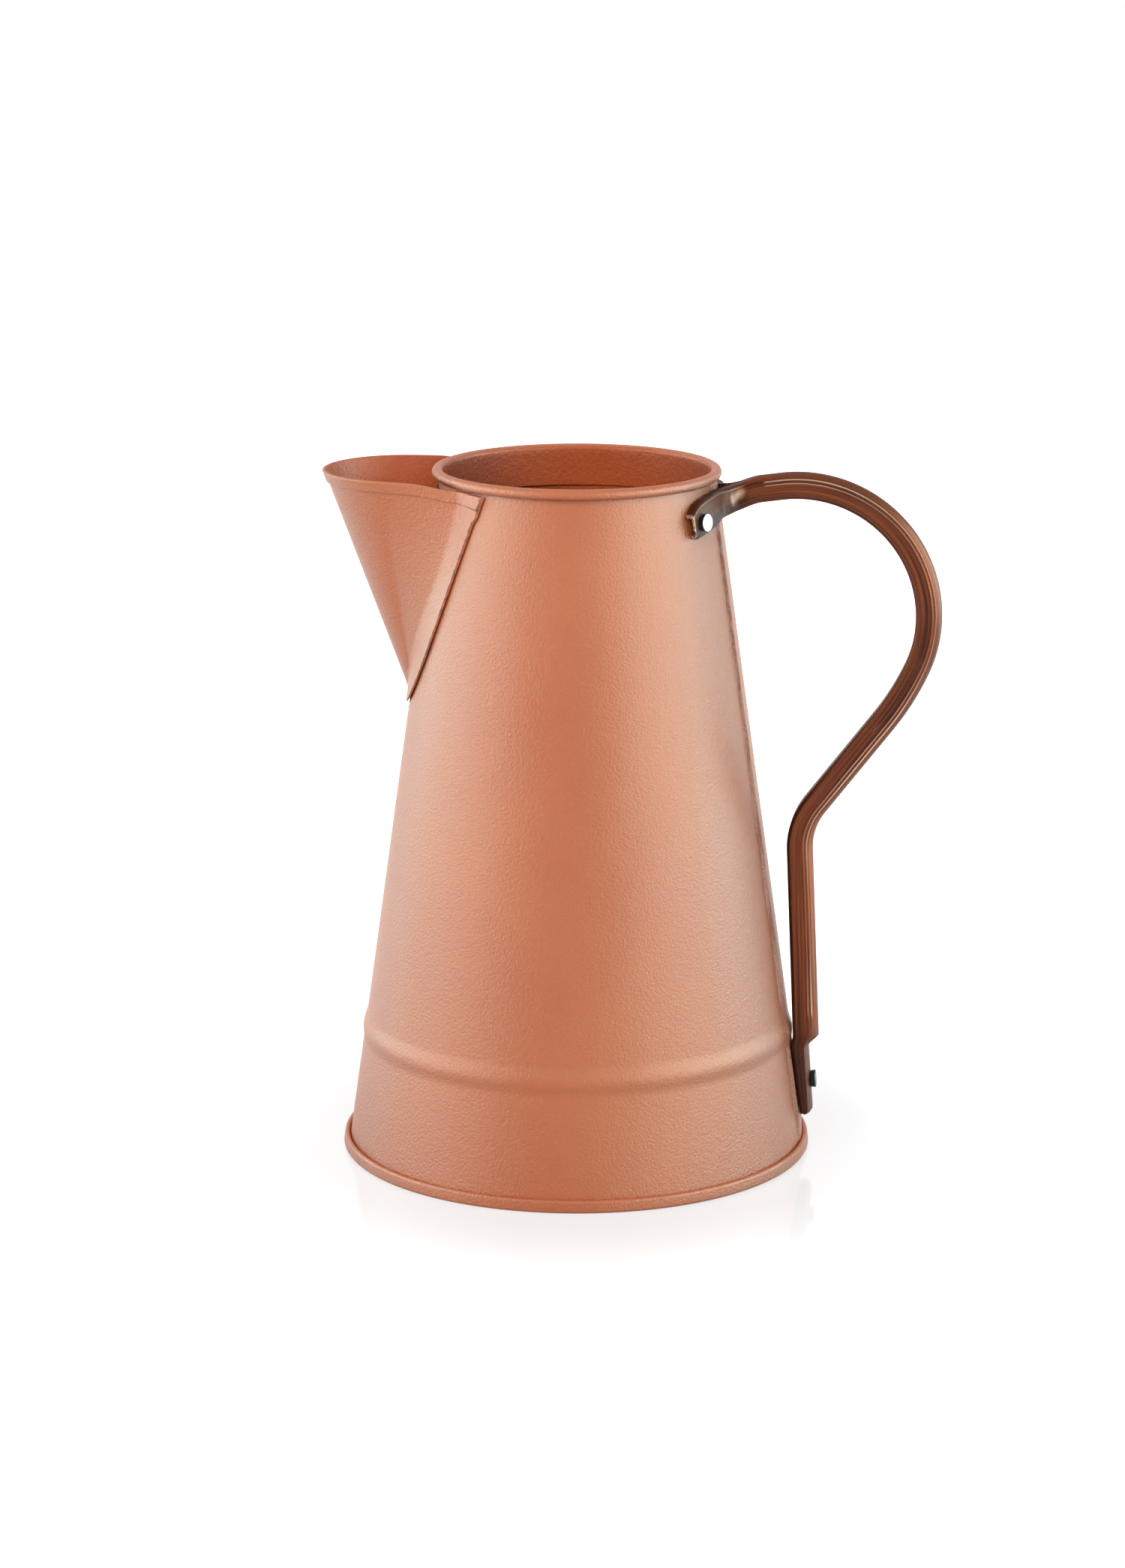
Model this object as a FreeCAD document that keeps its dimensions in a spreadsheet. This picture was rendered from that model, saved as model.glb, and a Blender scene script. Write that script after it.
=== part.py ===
import FreeCAD, Part
import math
import os
import re
import Sketcher

"""Sheet-metal pouring jug: a tapered body, a scoop spout and a forked strap handle.

Millimetres, +Z up. The origin is the centre of the base on the surface it stands on, the spout
points along -X and the handle along +X. Sheet thicknesses are measured horizontally.
"""

V = FreeCAD.Vector
doc = FreeCAD.newDocument("pouring_jug")
sheet = doc.addObject("Spreadsheet::Sheet", "Sizes")

# ---------------------------------------------------------------- driving dimensions
DRIVING = {
    # body sheet
    "total_height": (280.0, "rest plane to the top of the rolled rim"),
    "base_radius": (93.2, "outside of the body cone, carried down to the rest plane"),
    "rim_wall_radius": (54.0, "outside of the body cone at the height of the rim wire"),
    "gauge": (0.7, "thickness of the body, bottom and spout sheets"),
    "gap": (0.1, "clearance between neighbouring pieces"),
    "overrun": (10.0, "how far trimming shapes run past what they trim"),
    "bead_radius": (2.15, "outside radius of the rolled rim's section"),
    "wire_gap": (0.2, "clearance round the wire in the rolled rim"),
    "curl_end": (116.0, "angle past the outside where the rim's curl stops"),
    "swage_height": (50.9, "middle of the swaged ring"),
    "swage_span": (11.0, "height of the swaged ring"),
    "swage_rise": (1.2, "how far the swaged ring stands proud"),
    "seam_width": (13.2, "lock seam under the handle"),
    "seam_rise": (1.3, "how far the lock seam stands proud"),
    # bottom
    "foot_height": (5.2, "height of the folded base seam"),
    "panel_lift": (3.0, "how far the bottom panel is raised"),
    "panel_inset": (3.4, "from the inside of the body to the panel's step"),
    "sealant_reach": (3.0, "how far the sealing fillet reaches over the bottom panel"),
    "sealant_rise": (7.4, "top of the sealing fillet above the rest plane"),
    # spout
    "mouth_drop": (2.3, "from the top of the rim down to the spout's mouth"),
    "spout_tip": (101.5, "axis to the tip of the mouth"),
    "spout_rake": (20.44, "angle of the spout's front line from upright"),
    "spout_foot": (184.0, "height where the spout's front line is started"),
    "mouth_curve": (33.0, "radius of the mouth's front"),
    "mouth_flare": (9.6, "angle that the mouth's sides open by"),
    "foot_curve": (9.3, "radius of the spout's front at its foot"),
    "foot_flare": (54.5, "angle that the sides open by at the foot"),
    "spout_back": (30.0, "axis to the plane that closes the scoop inside the body"),
    "hem_height": (4.6, "folded hem round the mouth"),
    "hem_rise": (0.8, "how far the hem stands proud"),
    "joint_gap": (0.8, "space between the spout's flange and the body"),
    "joint_skin": (0.15, "clearance on each side of the spout's sealing strip"),
    "bead_relief": (0.35, "space between the rim's underside and the spout"),
    "relief_reach": (67.5, "radius where the mouth starts to dip under the rim"),
    "flange_half": (44.0, "half width of the flange at its top"),
    "flange_top": (274.2, "top edge of the flange"),
    "flange_bottom": (184.3, "lowest point of the flange"),
    "flange_round": (36.5, "radius of the flange's foot"),
    "window_half": (31.0, "half width of the pouring window at its top"),
    "window_top": (263.0, "top edge of the pouring window"),
    "window_bottom": (207.0, "lowest point of the pouring window"),
    "window_round": (20.0, "radius of the window's foot"),
    "sealant_margin": (2.0, "from the sealing strip to the edges of flange and window"),
    # handle
    "handle_gauge": (0.9, "sheet of the handle"),
    "tube_width": (9.6, "across the handle tube"),
    "tube_depth": (10.5, "from the inside to the outside face of the tube"),
    "tube_crown": (4.2, "crown of the tube's outside face"),
    "tube_slit": (1.0, "open joint on the tube's inside face"),
    "fold_radius": (1.6, "folded corners of the handle sheet"),
    "handle_reach": (140.8, "axis to the middle of the tube at its widest"),
    "handle_drop": (5.7, "top of the rim down to the middle of the tube at its highest"),
    "crook_radius": (52.0, "upper bend"),
    "crook_end": (24.0, "slope where the upper bend eases, from upright"),
    "ease_radius": (108.0, "easing bend below the grip"),
    "return_slope": (37.5, "slope of the straight that comes back, from upright"),
    "elbow_radius": (28.0, "bend into the lower run"),
    "shank_slope": (2.5, "slope of the lower run, from upright"),
    "shank_foot": (51.0, "height where the tube ends and the foot starts"),
    "shank_stand": (94.1, "axis to the middle of the tube at that height"),
    "neck_slope": (8.0, "fall of the tube towards the rim, and lean of the prongs"),
    "neck_start": (66.0, "axis to the upper end of the tube"),
    "ankle_height": (44.0, "height where the foot has its full width"),
    "toe_height": (16.0, "lower end of the foot"),
    "foot_width": (12.4, "across the flattened foot"),
    "ankle_depth": (7.0, "depth of the foot at its upper end"),
    "toe_depth": (5.1, "depth of the foot at its lower end"),
    "foot_crown": (1.5, "crown of the foot's outside face"),
    "foot_lip": (2.2, "width of the foot's turned-in edges"),
    # prongs
    "prong_drop": (11.6, "top of the rim down to the middle of the prongs at the tube"),
    "prong_roll": (7.5, "angle that each prong falls by round the body"),
    "prong_stand": (4.87, "from the wall to the prongs' outside face"),
    "prong_height": (12.0, "width of a prong"),
    "prong_depth": (3.9, "depth of a prong's turned edges"),
    "prong_bend": (8.0, "inside bend between the tube and a prong"),
    "prong_swell": (0.4, "from the tube's side to the root of a prong"),
    "prong_root": (73.0, "axis to the start of the prongs on the tube"),
    "prong_span": (33.5, "angle that each prong reaches round the body"),
    # rivets
    "rivet_angle": (27.6, "upper rivets, round the body from the handle"),
    "rivet_drop": (0.5, "upper rivets below the middle of the prong"),
    "rivet_height": (29.4, "lower rivet above the rest plane"),
    "rivet_shank": (2.0, "radius of the rivets' shank"),
    "rivet_head": (3.3, "radius of the rivets' flat head"),
    "rivet_head_rise": (2.0, "height of the rivets' head"),
    "rivet_head_flare": (0.25, "how much the head widens to its face"),
    "clench_radius": (3.1, "radius of the clenched end inside"),
    "clench_rise": (1.4, "height of the clenched end inside"),
    "washer_radius": (4.8, "radius of the burr washers inside"),
    "washer_gauge": (0.9, "thickness of the burr washers"),
    "washer_gap": (0.5, "space that lets a flat washer sit on the curved wall"),
}

# Sizes that follow from the driving ones.
DERIVED = {
    "rim_height": "total_height - bead_radius",
    "taper": "(base_radius - rim_wall_radius) / (total_height - bead_radius)",
    "rim_centre": "rim_wall_radius - gauge + bead_radius",
    "mouth_height": "total_height - mouth_drop",
    "swage_low": "swage_height - swage_span / 2",
    "swage_high": "swage_height + swage_span / 2",
    "swage_chord": "swage_span * sqrt(1 + taper * taper)",
    "swage_radius": "(swage_chord * swage_chord / 4 + swage_rise * swage_rise) / (2 * swage_rise)",
    "hook_low": "gauge + gap",
    "tuck_low": "gauge + gauge + gap + gap",
    "hook_high": "foot_height - gauge - gap",
    "seam_low": "foot_height + 2 * gap",
    "seam_high": "rim_height - bead_radius - 2 * gap",
    "panel_edge": "base_radius - gauge - panel_inset",
    "mouth_centre": "spout_tip - mouth_curve",
    "foot_front": "spout_tip - (mouth_height - spout_foot) * tan(spout_rake * 1 deg)",
    "foot_centre": "foot_front - foot_curve",
    "handle_top": "total_height - handle_drop",
    "prong_level": "total_height - prong_drop",
    "prong_face": "base_radius - taper * prong_level + prong_stand",
    "crook_x": "handle_reach - crook_radius",
    "crook_z": "handle_top - crook_radius",
    "ease_x": "crook_x - (ease_radius - crook_radius) * cos(crook_end * 1 deg)",
    "ease_z": "crook_z + (ease_radius - crook_radius) * sin(crook_end * 1 deg)",
    "back_x": "ease_x + ease_radius * cos(return_slope * 1 deg)",
    "back_z": "ease_z - ease_radius * sin(return_slope * 1 deg)",
    "elbow_turn": "return_slope + shank_slope",
    "back_offset": "(back_x - shank_stand) * cos(shank_slope * 1 deg)"
                   " + (back_z - shank_foot) * sin(shank_slope * 1 deg)",
    "back_run": "(back_offset - elbow_radius * (1 - cos(elbow_turn * 1 deg)))"
                " / sin(elbow_turn * 1 deg)",
    "bend_x": "back_x - back_run * sin(return_slope * 1 deg)",
    "bend_z": "back_z - back_run * cos(return_slope * 1 deg)",
    "elbow_x": "bend_x + elbow_radius * cos(return_slope * 1 deg)",
    "elbow_z": "bend_z - elbow_radius * sin(return_slope * 1 deg)",
    "crook_start_x": "crook_x - crook_radius * sin(neck_slope * 1 deg)",
    "crook_start_z": "crook_z + crook_radius * cos(neck_slope * 1 deg)",
    "neck_z": "crook_start_z - (crook_start_x - neck_start) * tan(neck_slope * 1 deg)",
    "prong_side": "tube_width / 2 + prong_swell",
    "prong_origin": "prong_level - prong_face * tan(neck_slope * 1 deg)",
    "bend_reach": "sqrt((prong_face + prong_bend)^2 - (prong_side + prong_bend)^2)",
    "bend_ratio": "prong_face / (prong_face + prong_bend)",
}

for row, (name, (size, note)) in enumerate(DRIVING.items(), start=1):
    sheet.set(f"A{row}", name)
    sheet.set(f"B{row}", str(size))
    sheet.setAlias(f"B{row}", name)
    sheet.set(f"C{row}", note)
for row, (name, formula) in enumerate(DERIVED.items(), start=len(DRIVING) + 2):
    sheet.set(f"A{row}", name)
    sheet.set(f"B{row}", "=" + formula)
    sheet.setAlias(f"B{row}", name)
doc.recompute()

NAMES = re.compile(r"\b(" + "|".join(list(DRIVING) + list(DERIVED)) + r")\b")


def bound(formula):
    """The formula with every size read from the sheet."""
    return NAMES.sub(r"Sizes.\1", formula)


def worth(formula):
    """The number that a formula stands for now."""
    return float(sheet.evalExpression(formula))


def wall(height, offset="0"):
    """Formula of the body cone's outside radius at a height, plus an offset."""
    return f"(base_radius - taper * ({height}) + ({offset}))"


# ---------------------------------------------------------------- building blocks
def new_body(name):
    return doc.addObject("PartDesign::Body", name)


def sketch_on(body, name, plane, lift="0", shift="0", slope=None, slope_axis=None):
    """A sketch on one of the body's own planes, lifted along its normal and tilted by slope."""
    sketch = body.newObject("Sketcher::SketchObject", name)
    features = body.Origin.OriginFeatures
    support = [feature for feature in features if feature.Role == plane][0]
    sketch.AttachmentSupport = [(support, "")]
    sketch.MapMode = "FlatFace"
    if slope:
        turned = FreeCAD.Rotation(slope_axis, worth(slope))
        sketch.AttachmentOffset = FreeCAD.Placement(V(), turned)
        sketch.setExpression("AttachmentOffset.Rotation.Angle", bound(slope))
    along = "x" if plane == "XY_Plane" else "y"
    sketch.setExpression("AttachmentOffset.Base." + along, bound(shift))
    sketch.setExpression("AttachmentOffset.Base.z", bound(lift))
    return sketch


def pin(sketch, geometry, vertex, point):
    """Holds one end of a line or arc at a point given by two formulas."""
    for kind, formula in zip(("DistanceX", "DistanceY"), point):
        rule = Sketcher.Constraint(kind, -1, 1, geometry, vertex, worth(formula))
        number = sketch.addConstraint(rule)
        sketch.setExpression(f"Constraints[{number}]", bound(formula))


def arc_between(start, end, radius, left, large):
    """Arc from start to end that turns left or right, the long way round if large."""
    half = (end - start) * 0.5
    rise = math.sqrt(max(radius * radius - half.Length ** 2, 0.0))
    side = V(-half.y, half.x, 0).normalize()
    centre = start + half + side * (rise if left != large else -rise)
    first, last = (start, end) if left else (end, start)
    angles = [math.atan2(p.y - centre.y, p.x - centre.x) for p in (first, last)]
    circle = Part.Circle(centre, V(0, 0, 1), radius)
    return Part.ArcOfCircle(circle, *angles)


def outline(sketch, points, arcs=None, closed=True):
    """Chain of lines and arcs through pinned points.

    arcs maps the index of a point to the arc that leaves it: (radius, left, large).
    """
    arcs = arcs or {}
    spots = [V(worth(u), worth(v), 0) for u, v in points]
    count = len(points) if closed else len(points) - 1
    ends = []
    for index in range(count):
        start, end = spots[index], spots[(index + 1) % len(points)]
        if index in arcs:
            radius, left, large = arcs[index]
            curve = arc_between(start, end, worth(radius), left, large)
            number = sketch.addGeometry(curve, False)
            ends.append((number, 1, 2) if left else (number, 2, 1))
            rule = Sketcher.Constraint("Radius", number, worth(radius))
            sketch.setExpression(f"Constraints[{sketch.addConstraint(rule)}]", bound(radius))
        else:
            number = sketch.addGeometry(Part.LineSegment(start, end), False)
            ends.append((number, 1, 2))
        pin(sketch, number, ends[-1][1], points[index])
    for (number, _, last), (following, first, _) in zip(ends, ends[1:] + ends[:1]):
        if closed or following != ends[0][0]:
            sketch.addConstraint(Sketcher.Constraint("Coincident", number, last, following, first))
    if not closed:
        pin(sketch, ends[-1][0], ends[-1][2], points[-1])
    return sketch


def revolve(body, sketch):
    """Full turn of a half section about the body's upright axis."""
    turned = body.newObject("PartDesign::Revolution", body.Name + "_turned")
    turned.Profile = sketch
    turned.ReferenceAxis = (sketch, ["V_Axis"])
    turned.Angle = 360.0
    body.Tip = turned
    return turned


def pad(body, sketch, name, length, midplane=False, reverse=False, lift=None):
    """Straight extrusion of a sketch, on both sides of it when midplane."""
    solid = body.newObject("PartDesign::Pad", name)
    solid.Profile = sketch
    solid.Midplane = midplane
    solid.Reversed = reverse
    solid.Length = worth(length)
    solid.setExpression("Length", bound(length))
    body.Tip = solid
    return solid


def boolean(kind, name, base, tool):
    """Part::Cut or Part::Common of two objects."""
    result = doc.addObject("Part::" + kind, name)
    result.Base = base
    result.Tool = tool
    return result


def fuse(name, *members):
    result = doc.addObject("Part::MultiFuse", name)
    result.Shapes = list(members)
    result.Refine = True
    return result


def wall_solid(name, offset, low, high):
    """Filled shape inside the body's outside surface moved out by offset, swage ring included."""
    body = new_body(name)
    sketch = sketch_on(body, name + "_half", "XZ_Plane")
    points = [("0", low), (wall(low, offset), low)]
    arcs = {}
    if worth(low) < worth("swage_low"):
        points += [(wall("swage_low", offset), "swage_low")]
        arcs = {2: ("swage_radius", True, False)}
        points += [(wall("swage_high", offset), "swage_high")]
    points += [(wall(high, offset), high), ("0", high)]
    outline(sketch, points, arcs)
    revolve(body, sketch)
    return body


def u_prism(name, half, top, bottom, rounding, reach="spout_tip"):
    """Prism along -X with a round foot and sides that open towards a straight top edge."""
    middle = f"(({bottom}) + ({rounding}))"
    rise = f"(({top}) - {middle})"
    lean = f"(atan(({half}) / {rise}) - asin(({rounding}) / sqrt(({half})^2 + {rise}^2)))"
    side = f"(({rounding}) * cos({lean}))"
    turn = f"({middle} - ({rounding}) * sin({lean}))"
    body = new_body(name)
    sketch = sketch_on(body, name + "_face", "YZ_Plane")
    points = [(half, top), (f"-({half})", top), ("-" + side, turn), (side, turn)]
    outline(sketch, points, {2: (rounding, True, worth(lean) < 0)})
    pad(body, sketch, name + "_pad", reach, reverse=True)
    return body


def scoop(name, growth):
    """Filled scoop between its foot and its mouth, grown sideways by growth.

    Each level is a round front with two straight sides that run back into the body.
    """
    body = new_body(name)
    levels = []
    for level, height, centre, curve, flare in (
            ("foot", "spout_foot", "foot_centre", "foot_curve", "foot_flare"),
            ("mouth", "mouth_height", "mouth_centre", "mouth_curve", "mouth_flare")):
        radius = f"({curve} + ({growth}))"
        touch_x = f"({centre} + {radius} * sin({flare} * 1 deg))"
        touch_y = f"({radius} * cos({flare} * 1 deg))"
        end_y = f"({touch_y} + ({touch_x} - spout_back) * tan({flare} * 1 deg))"
        sketch = sketch_on(body, f"{name}_{level}", "XY_Plane", lift=height)
        points = [("-spout_back", end_y), ("-" + touch_x, touch_y),
                  ("-" + touch_x, "-" + touch_y), ("-spout_back", "-" + end_y)]
        outline(sketch, points, {1: (radius, True, False)})
        levels.append(sketch)
    loft = body.newObject("PartDesign::AdditiveLoft", name + "_loft")
    loft.Profile = levels[0]
    loft.Sections = levels[1:]
    loft.Ruled = True
    body.Tip = loft
    return body


def box(name, width, low, high, near, far):
    """Upright box on the +X side, width across Y."""
    solid = doc.addObject("Part::Box", name)
    for prop, formula in (("Length", f"({far}) - ({near})"), ("Width", width),
                          ("Height", f"({high}) - ({low})")):
        solid.setExpression(prop, bound(formula))
    solid.setExpression("Placement.Base.x", bound(near))
    solid.setExpression("Placement.Base.y", bound(f"-({width}) / 2"))
    solid.setExpression("Placement.Base.z", bound(low))
    return solid


def seam_solid(name, spare, low, high):
    """Lock seam strip that stands proud of the wall, grown all round by spare."""
    proud = wall_solid(name + "_outside", f"seam_rise + {spare}", low, high)
    strip = box(name + "_strip", f"seam_width + 2 * ({spare})", low, high,
                "rim_wall_radius / 2", "base_radius + seam_rise + overrun")
    return boolean("Common", name, strip, proud)


# ---------------------------------------------------------------- body sheet
def body_wall():
    """Half section of the body sheet: seam hook, tapered wall, swage ring and rolled rim."""
    body = new_body("body_wall")
    sketch = sketch_on(body, "body_wall_half", "XZ_Plane")
    hook_in = "2 * gap + gauge"
    hook_out = "2 * gap + 2 * gauge"
    curl = "curl_end * 1 deg"
    inner = "bead_radius - gauge"
    points = [
        (wall("hook_low", "-gauge"), "hook_low"),
        (wall("hook_low", hook_out), "hook_low"),
        (wall("hook_high", hook_out), "hook_high"),
        (wall("hook_high", hook_in), "hook_high"),
        (wall("hook_low + gauge", hook_in), "hook_low + gauge"),
        (wall("hook_low + gauge"), "hook_low + gauge"),
        (wall("swage_low"), "swage_low"),
        (wall("swage_high"), "swage_high"),
        ("rim_wall_radius", "rim_height"),
        (f"rim_centre + ({inner}) * cos({curl})", f"rim_height - ({inner}) * sin({curl})"),
        (f"rim_centre + bead_radius * cos({curl})", f"rim_height - bead_radius * sin({curl})"),
        ("rim_wall_radius - gauge", "rim_height"),
        (wall("swage_high", "-gauge"), "swage_high"),
        (wall("swage_low", "-gauge"), "swage_low"),
    ]
    arcs = {6: ("swage_radius", True, False), 8: (inner, False, True),
            10: ("bead_radius", True, True), 12: ("swage_radius", False, False)}
    outline(sketch, points, arcs)
    revolve(body, sketch)
    return body


wall_body = body_wall()
seam_block = seam_solid("seam_block", "0", "seam_low", "seam_high")
seam_core = wall_solid("seam_core", "-gauge / 2", "seam_low - overrun",
                       "seam_high + overrun")
seam = boolean("Cut", "lock_seam", seam_block, seam_core)
wall_with_seam = fuse("wall_with_seam", wall_body, seam)
window = u_prism("window", "window_half", "window_top", "window_bottom", "window_round")


# ---------------------------------------------------------------- rim wire
rim_wire = doc.addObject("Part::Torus", "rim_wire")
rim_wire.setExpression("Radius1", bound("rim_centre"))
rim_wire.setExpression("Radius2", bound("bead_radius - gauge - wire_gap"))
rim_wire.setExpression("Placement.Base.z", bound("rim_height"))


# ---------------------------------------------------------------- bottom and its sealant
def bottom():
    """Half section of the bottom: raised panel, then the fold round the body's hook."""
    body = new_body("base_disc")
    sketch = sketch_on(body, "base_disc_half", "XZ_Plane")
    tuck_in = "gap"
    tuck_out = "gap + gauge"
    fold_in = "3 * gap + 2 * gauge"
    fold_out = "3 * gap + 3 * gauge"
    corner = "gauge"
    step = "panel_lift / 2"
    top_in = "foot_height - gauge"
    points = [
        ("0", "panel_lift"),
        ("panel_edge", "panel_lift"),
        (f"panel_edge + {step}", "0"),
        (wall("0", f"{fold_out} - {corner}"), "0"),
        (wall(corner, fold_out), corner),
        (wall(top_in, fold_out), top_in),
        (wall("foot_height", f"{fold_out} - {corner}"), "foot_height"),
        (wall("foot_height", tuck_in), "foot_height"),
        (wall("tuck_low", tuck_in), "tuck_low"),
        (wall("tuck_low", tuck_out), "tuck_low"),
        (wall(top_in, tuck_out), top_in),
        (wall(top_in, fold_in), top_in),
        (wall("gauge", fold_in), "gauge"),
        (f"panel_edge + {step} + gauge", "gauge"),
        ("panel_edge + gauge", "panel_lift + gauge"),
        ("0", "panel_lift + gauge"),
    ]
    outline(sketch, points)
    revolve(body, sketch)
    return body


def bottom_sealant():
    """Sealant that fills the groove round the panel and rises against the wall."""
    body = new_body("base_seam_sealant")
    sketch = sketch_on(body, "base_seam_sealant_half", "XZ_Plane")
    low = "gauge + gap"
    top = "panel_lift + gauge + gap"
    shoulder = "panel_edge + gauge + gap"
    points = [
        (f"{shoulder} + panel_lift / 2", low),
        (wall(low, "-gauge - gap"), low),
        (wall("sealant_rise", "-gauge - gap"), "sealant_rise"),
        ("panel_edge + gauge - sealant_reach", top),
        (shoulder, top),
    ]
    outline(sketch, points)
    revolve(body, sketch)
    return body


base_disc = bottom()
base_sealant = bottom_sealant()


# ---------------------------------------------------------------- spout
scoop_outside = scoop("scoop_outside", "0")
scoop_inside = scoop("scoop_inside", "-gauge")
hem_outside = scoop("hem_outside", "hem_rise")
hem_slab = doc.addObject("Part::Box", "hem_slab")
for prop, formula in (("Length", "spout_tip + overrun"),
                      ("Width", "2 * (flange_half + overrun)"), ("Height", "hem_height"),
                      ("Placement.Base.x", "-spout_tip - overrun"),
                      ("Placement.Base.y", "-flange_half - overrun"),
                      ("Placement.Base.z", "mouth_height - hem_height")):
    hem_slab.setExpression(prop, bound(formula))
hem = boolean("Common", "mouth_hem", hem_outside, hem_slab)
scoop_block = fuse("scoop_block", scoop_outside, hem)
flange_seat = wall_solid("flange_seat", "joint_gap", "-overrun", "total_height + overrun")
flange_face = wall_solid("flange_face", "joint_gap + gauge", "spout_foot - overrun",
                         "total_height")
flange_edge = u_prism("flange_edge", "flange_half", "flange_top", "flange_bottom", "flange_round")
flange_block = boolean("Common", "flange_block", flange_face, flange_edge)
spout_block = fuse("spout_block", scoop_block, flange_block)
spout_clear = boolean("Cut", "spout_clear", spout_block, flange_seat)
spout_hollow = boolean("Cut", "spout_hollow", spout_clear, scoop_inside)


def rim_relief():
    """Room for the rolled rim over the spout: flat under the rim, then rising to the mouth."""
    body = new_body("rim_relief")
    sketch = sketch_on(body, "rim_relief_half", "XZ_Plane")
    under = "rim_height - bead_radius - bead_relief"
    points = [("0", under), ("rim_centre + bead_radius", under),
              ("relief_reach", "mouth_height"), ("relief_reach", "total_height + overrun"),
              ("0", "total_height + overrun")]
    outline(sketch, points)
    revolve(body, sketch)
    return body


relief = rim_relief()
spout_shell = boolean("Cut", "spout_shell", spout_hollow, relief)

joint_face = wall_solid("joint_face", "joint_gap - joint_skin", "spout_foot - overrun",
                        "total_height")
joint_back = wall_solid("joint_back", "joint_skin", "spout_foot - 2 * overrun",
                        "total_height + overrun")
joint_edge = u_prism("joint_edge", "flange_half - sealant_margin", "flange_top - sealant_margin",
                     "flange_bottom + sealant_margin", "flange_round - sealant_margin")
joint_open = u_prism("joint_open", "window_half + sealant_margin", "window_top + sealant_margin",
                     "window_bottom - sealant_margin", "window_round + sealant_margin")
joint_block = boolean("Common", "joint_block", joint_face, joint_edge)
joint_ring = boolean("Cut", "joint_ring", joint_block, joint_back)
joint_sealant = boolean("Cut", "spout_joint_sealant", joint_ring, joint_open)


# ---------------------------------------------------------------- handle
def channel(sketch, width, depth, crown, opening, across):
    """Section of the folded handle sheet: crowned outside, folded corners, open inside face.

    across is True where the sketch's first axis runs across the handle and its second points
    outwards, and False where the first axis points outwards.
    """
    half = f"(({width}) / 2)"
    inside = f"(-({depth}) / 2)"
    crown_start = f"(({depth}) / 2 - ({crown}))"
    outer_arc = f"(({half}^2 + ({crown})^2) / (2 * ({crown})))"
    thin = f"({half} - handle_gauge)"
    thin_crown = f"(({crown}) - handle_gauge)"
    inner_arc = f"(({thin}^2 + {thin_crown}^2) / (2 * {thin_crown}))"
    side = [
        (opening, inside),
        (f"{half} - fold_radius", inside),
        (half, f"{inside} + fold_radius"),
        (half, crown_start),
    ]
    lining = [
        (thin, crown_start),
        (thin, f"{inside} + fold_radius"),
        (f"{half} - fold_radius", f"{inside} + handle_gauge"),
        (opening, f"{inside} + handle_gauge"),
    ]
    mirrored = [(f"-({v})", u) for v, u in reversed(side)]
    far_lining = [(f"-({v})", u) for v, u in reversed(lining)]
    points = side + mirrored + far_lining + lining
    if not across:
        points = [(u, v) for v, u in points]
    left = across
    tight = "fold_radius - handle_gauge"
    arcs = {1: ("fold_radius", left, False), 3: (outer_arc, left, False),
            5: ("fold_radius", left, False), 9: (tight, not left, False),
            11: (inner_arc, not left, False), 13: (tight, not left, False)}
    outline(sketch, points, arcs)


def handle_tube():
    """Tube along the handle's line, then the flattened foot below it."""
    body = new_body("handle_tube")
    path = sketch_on(body, "handle_path", "XZ_Plane")
    crook = "crook_end * 1 deg"
    shank = "shank_slope * 1 deg"
    points = [
        ("neck_start", "neck_z"),
        ("crook_start_x", "crook_start_z"),
        (f"crook_x + crook_radius * cos({crook})", f"crook_z - crook_radius * sin({crook})"),
        ("back_x", "back_z"),
        ("bend_x", "bend_z"),
        (f"elbow_x - elbow_radius * cos({shank})", f"elbow_z - elbow_radius * sin({shank})"),
        ("shank_stand", "shank_foot"),
    ]
    arcs = {1: ("crook_radius", False, False), 2: ("ease_radius", False, False),
            4: ("elbow_radius", True, False)}
    outline(path, points, arcs, closed=False)
    section = sketch_on(body, "handle_section", "YZ_Plane", lift="neck_start", shift="neck_z",
                        slope="neck_slope", slope_axis=V(-1, 0, 0))
    tube = ("tube_width", "tube_depth", "tube_crown", "tube_slit / 2")
    channel(section, *tube, across=True)
    pipe = body.newObject("PartDesign::AdditivePipe", "handle_pipe")
    pipe.Profile = section
    pipe.Spine = (path, [])
    body.Tip = pipe

    end = sketch_on(body, "tube_end", "XY_Plane", lift="shank_foot", shift="shank_stand",
                    slope="shank_slope", slope_axis=V(0, -1, 0))
    channel(end, *tube, across=False)
    levels = [end]
    for name, height, depth in (("ankle", "ankle_height", "ankle_depth"),
                                ("toe", "toe_height", "toe_depth")):
        middle = wall(height, f"seam_rise + gap + {depth} / 2")
        level = sketch_on(body, name, "XY_Plane", lift=height, shift=middle)
        opening = "foot_width / 2 - foot_lip"
        channel(level, "foot_width", depth, "foot_crown", opening, across=False)
        levels.append(level)
    for name, upper, lower in (("shoulder", 0, 1), ("foot_plate", 1, 2)):
        loft = body.newObject("PartDesign::AdditiveLoft", name)
        loft.Profile = levels[upper]
        loft.Sections = [levels[lower]]
        loft.Ruled = True
        body.Tip = loft
    return body


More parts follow.
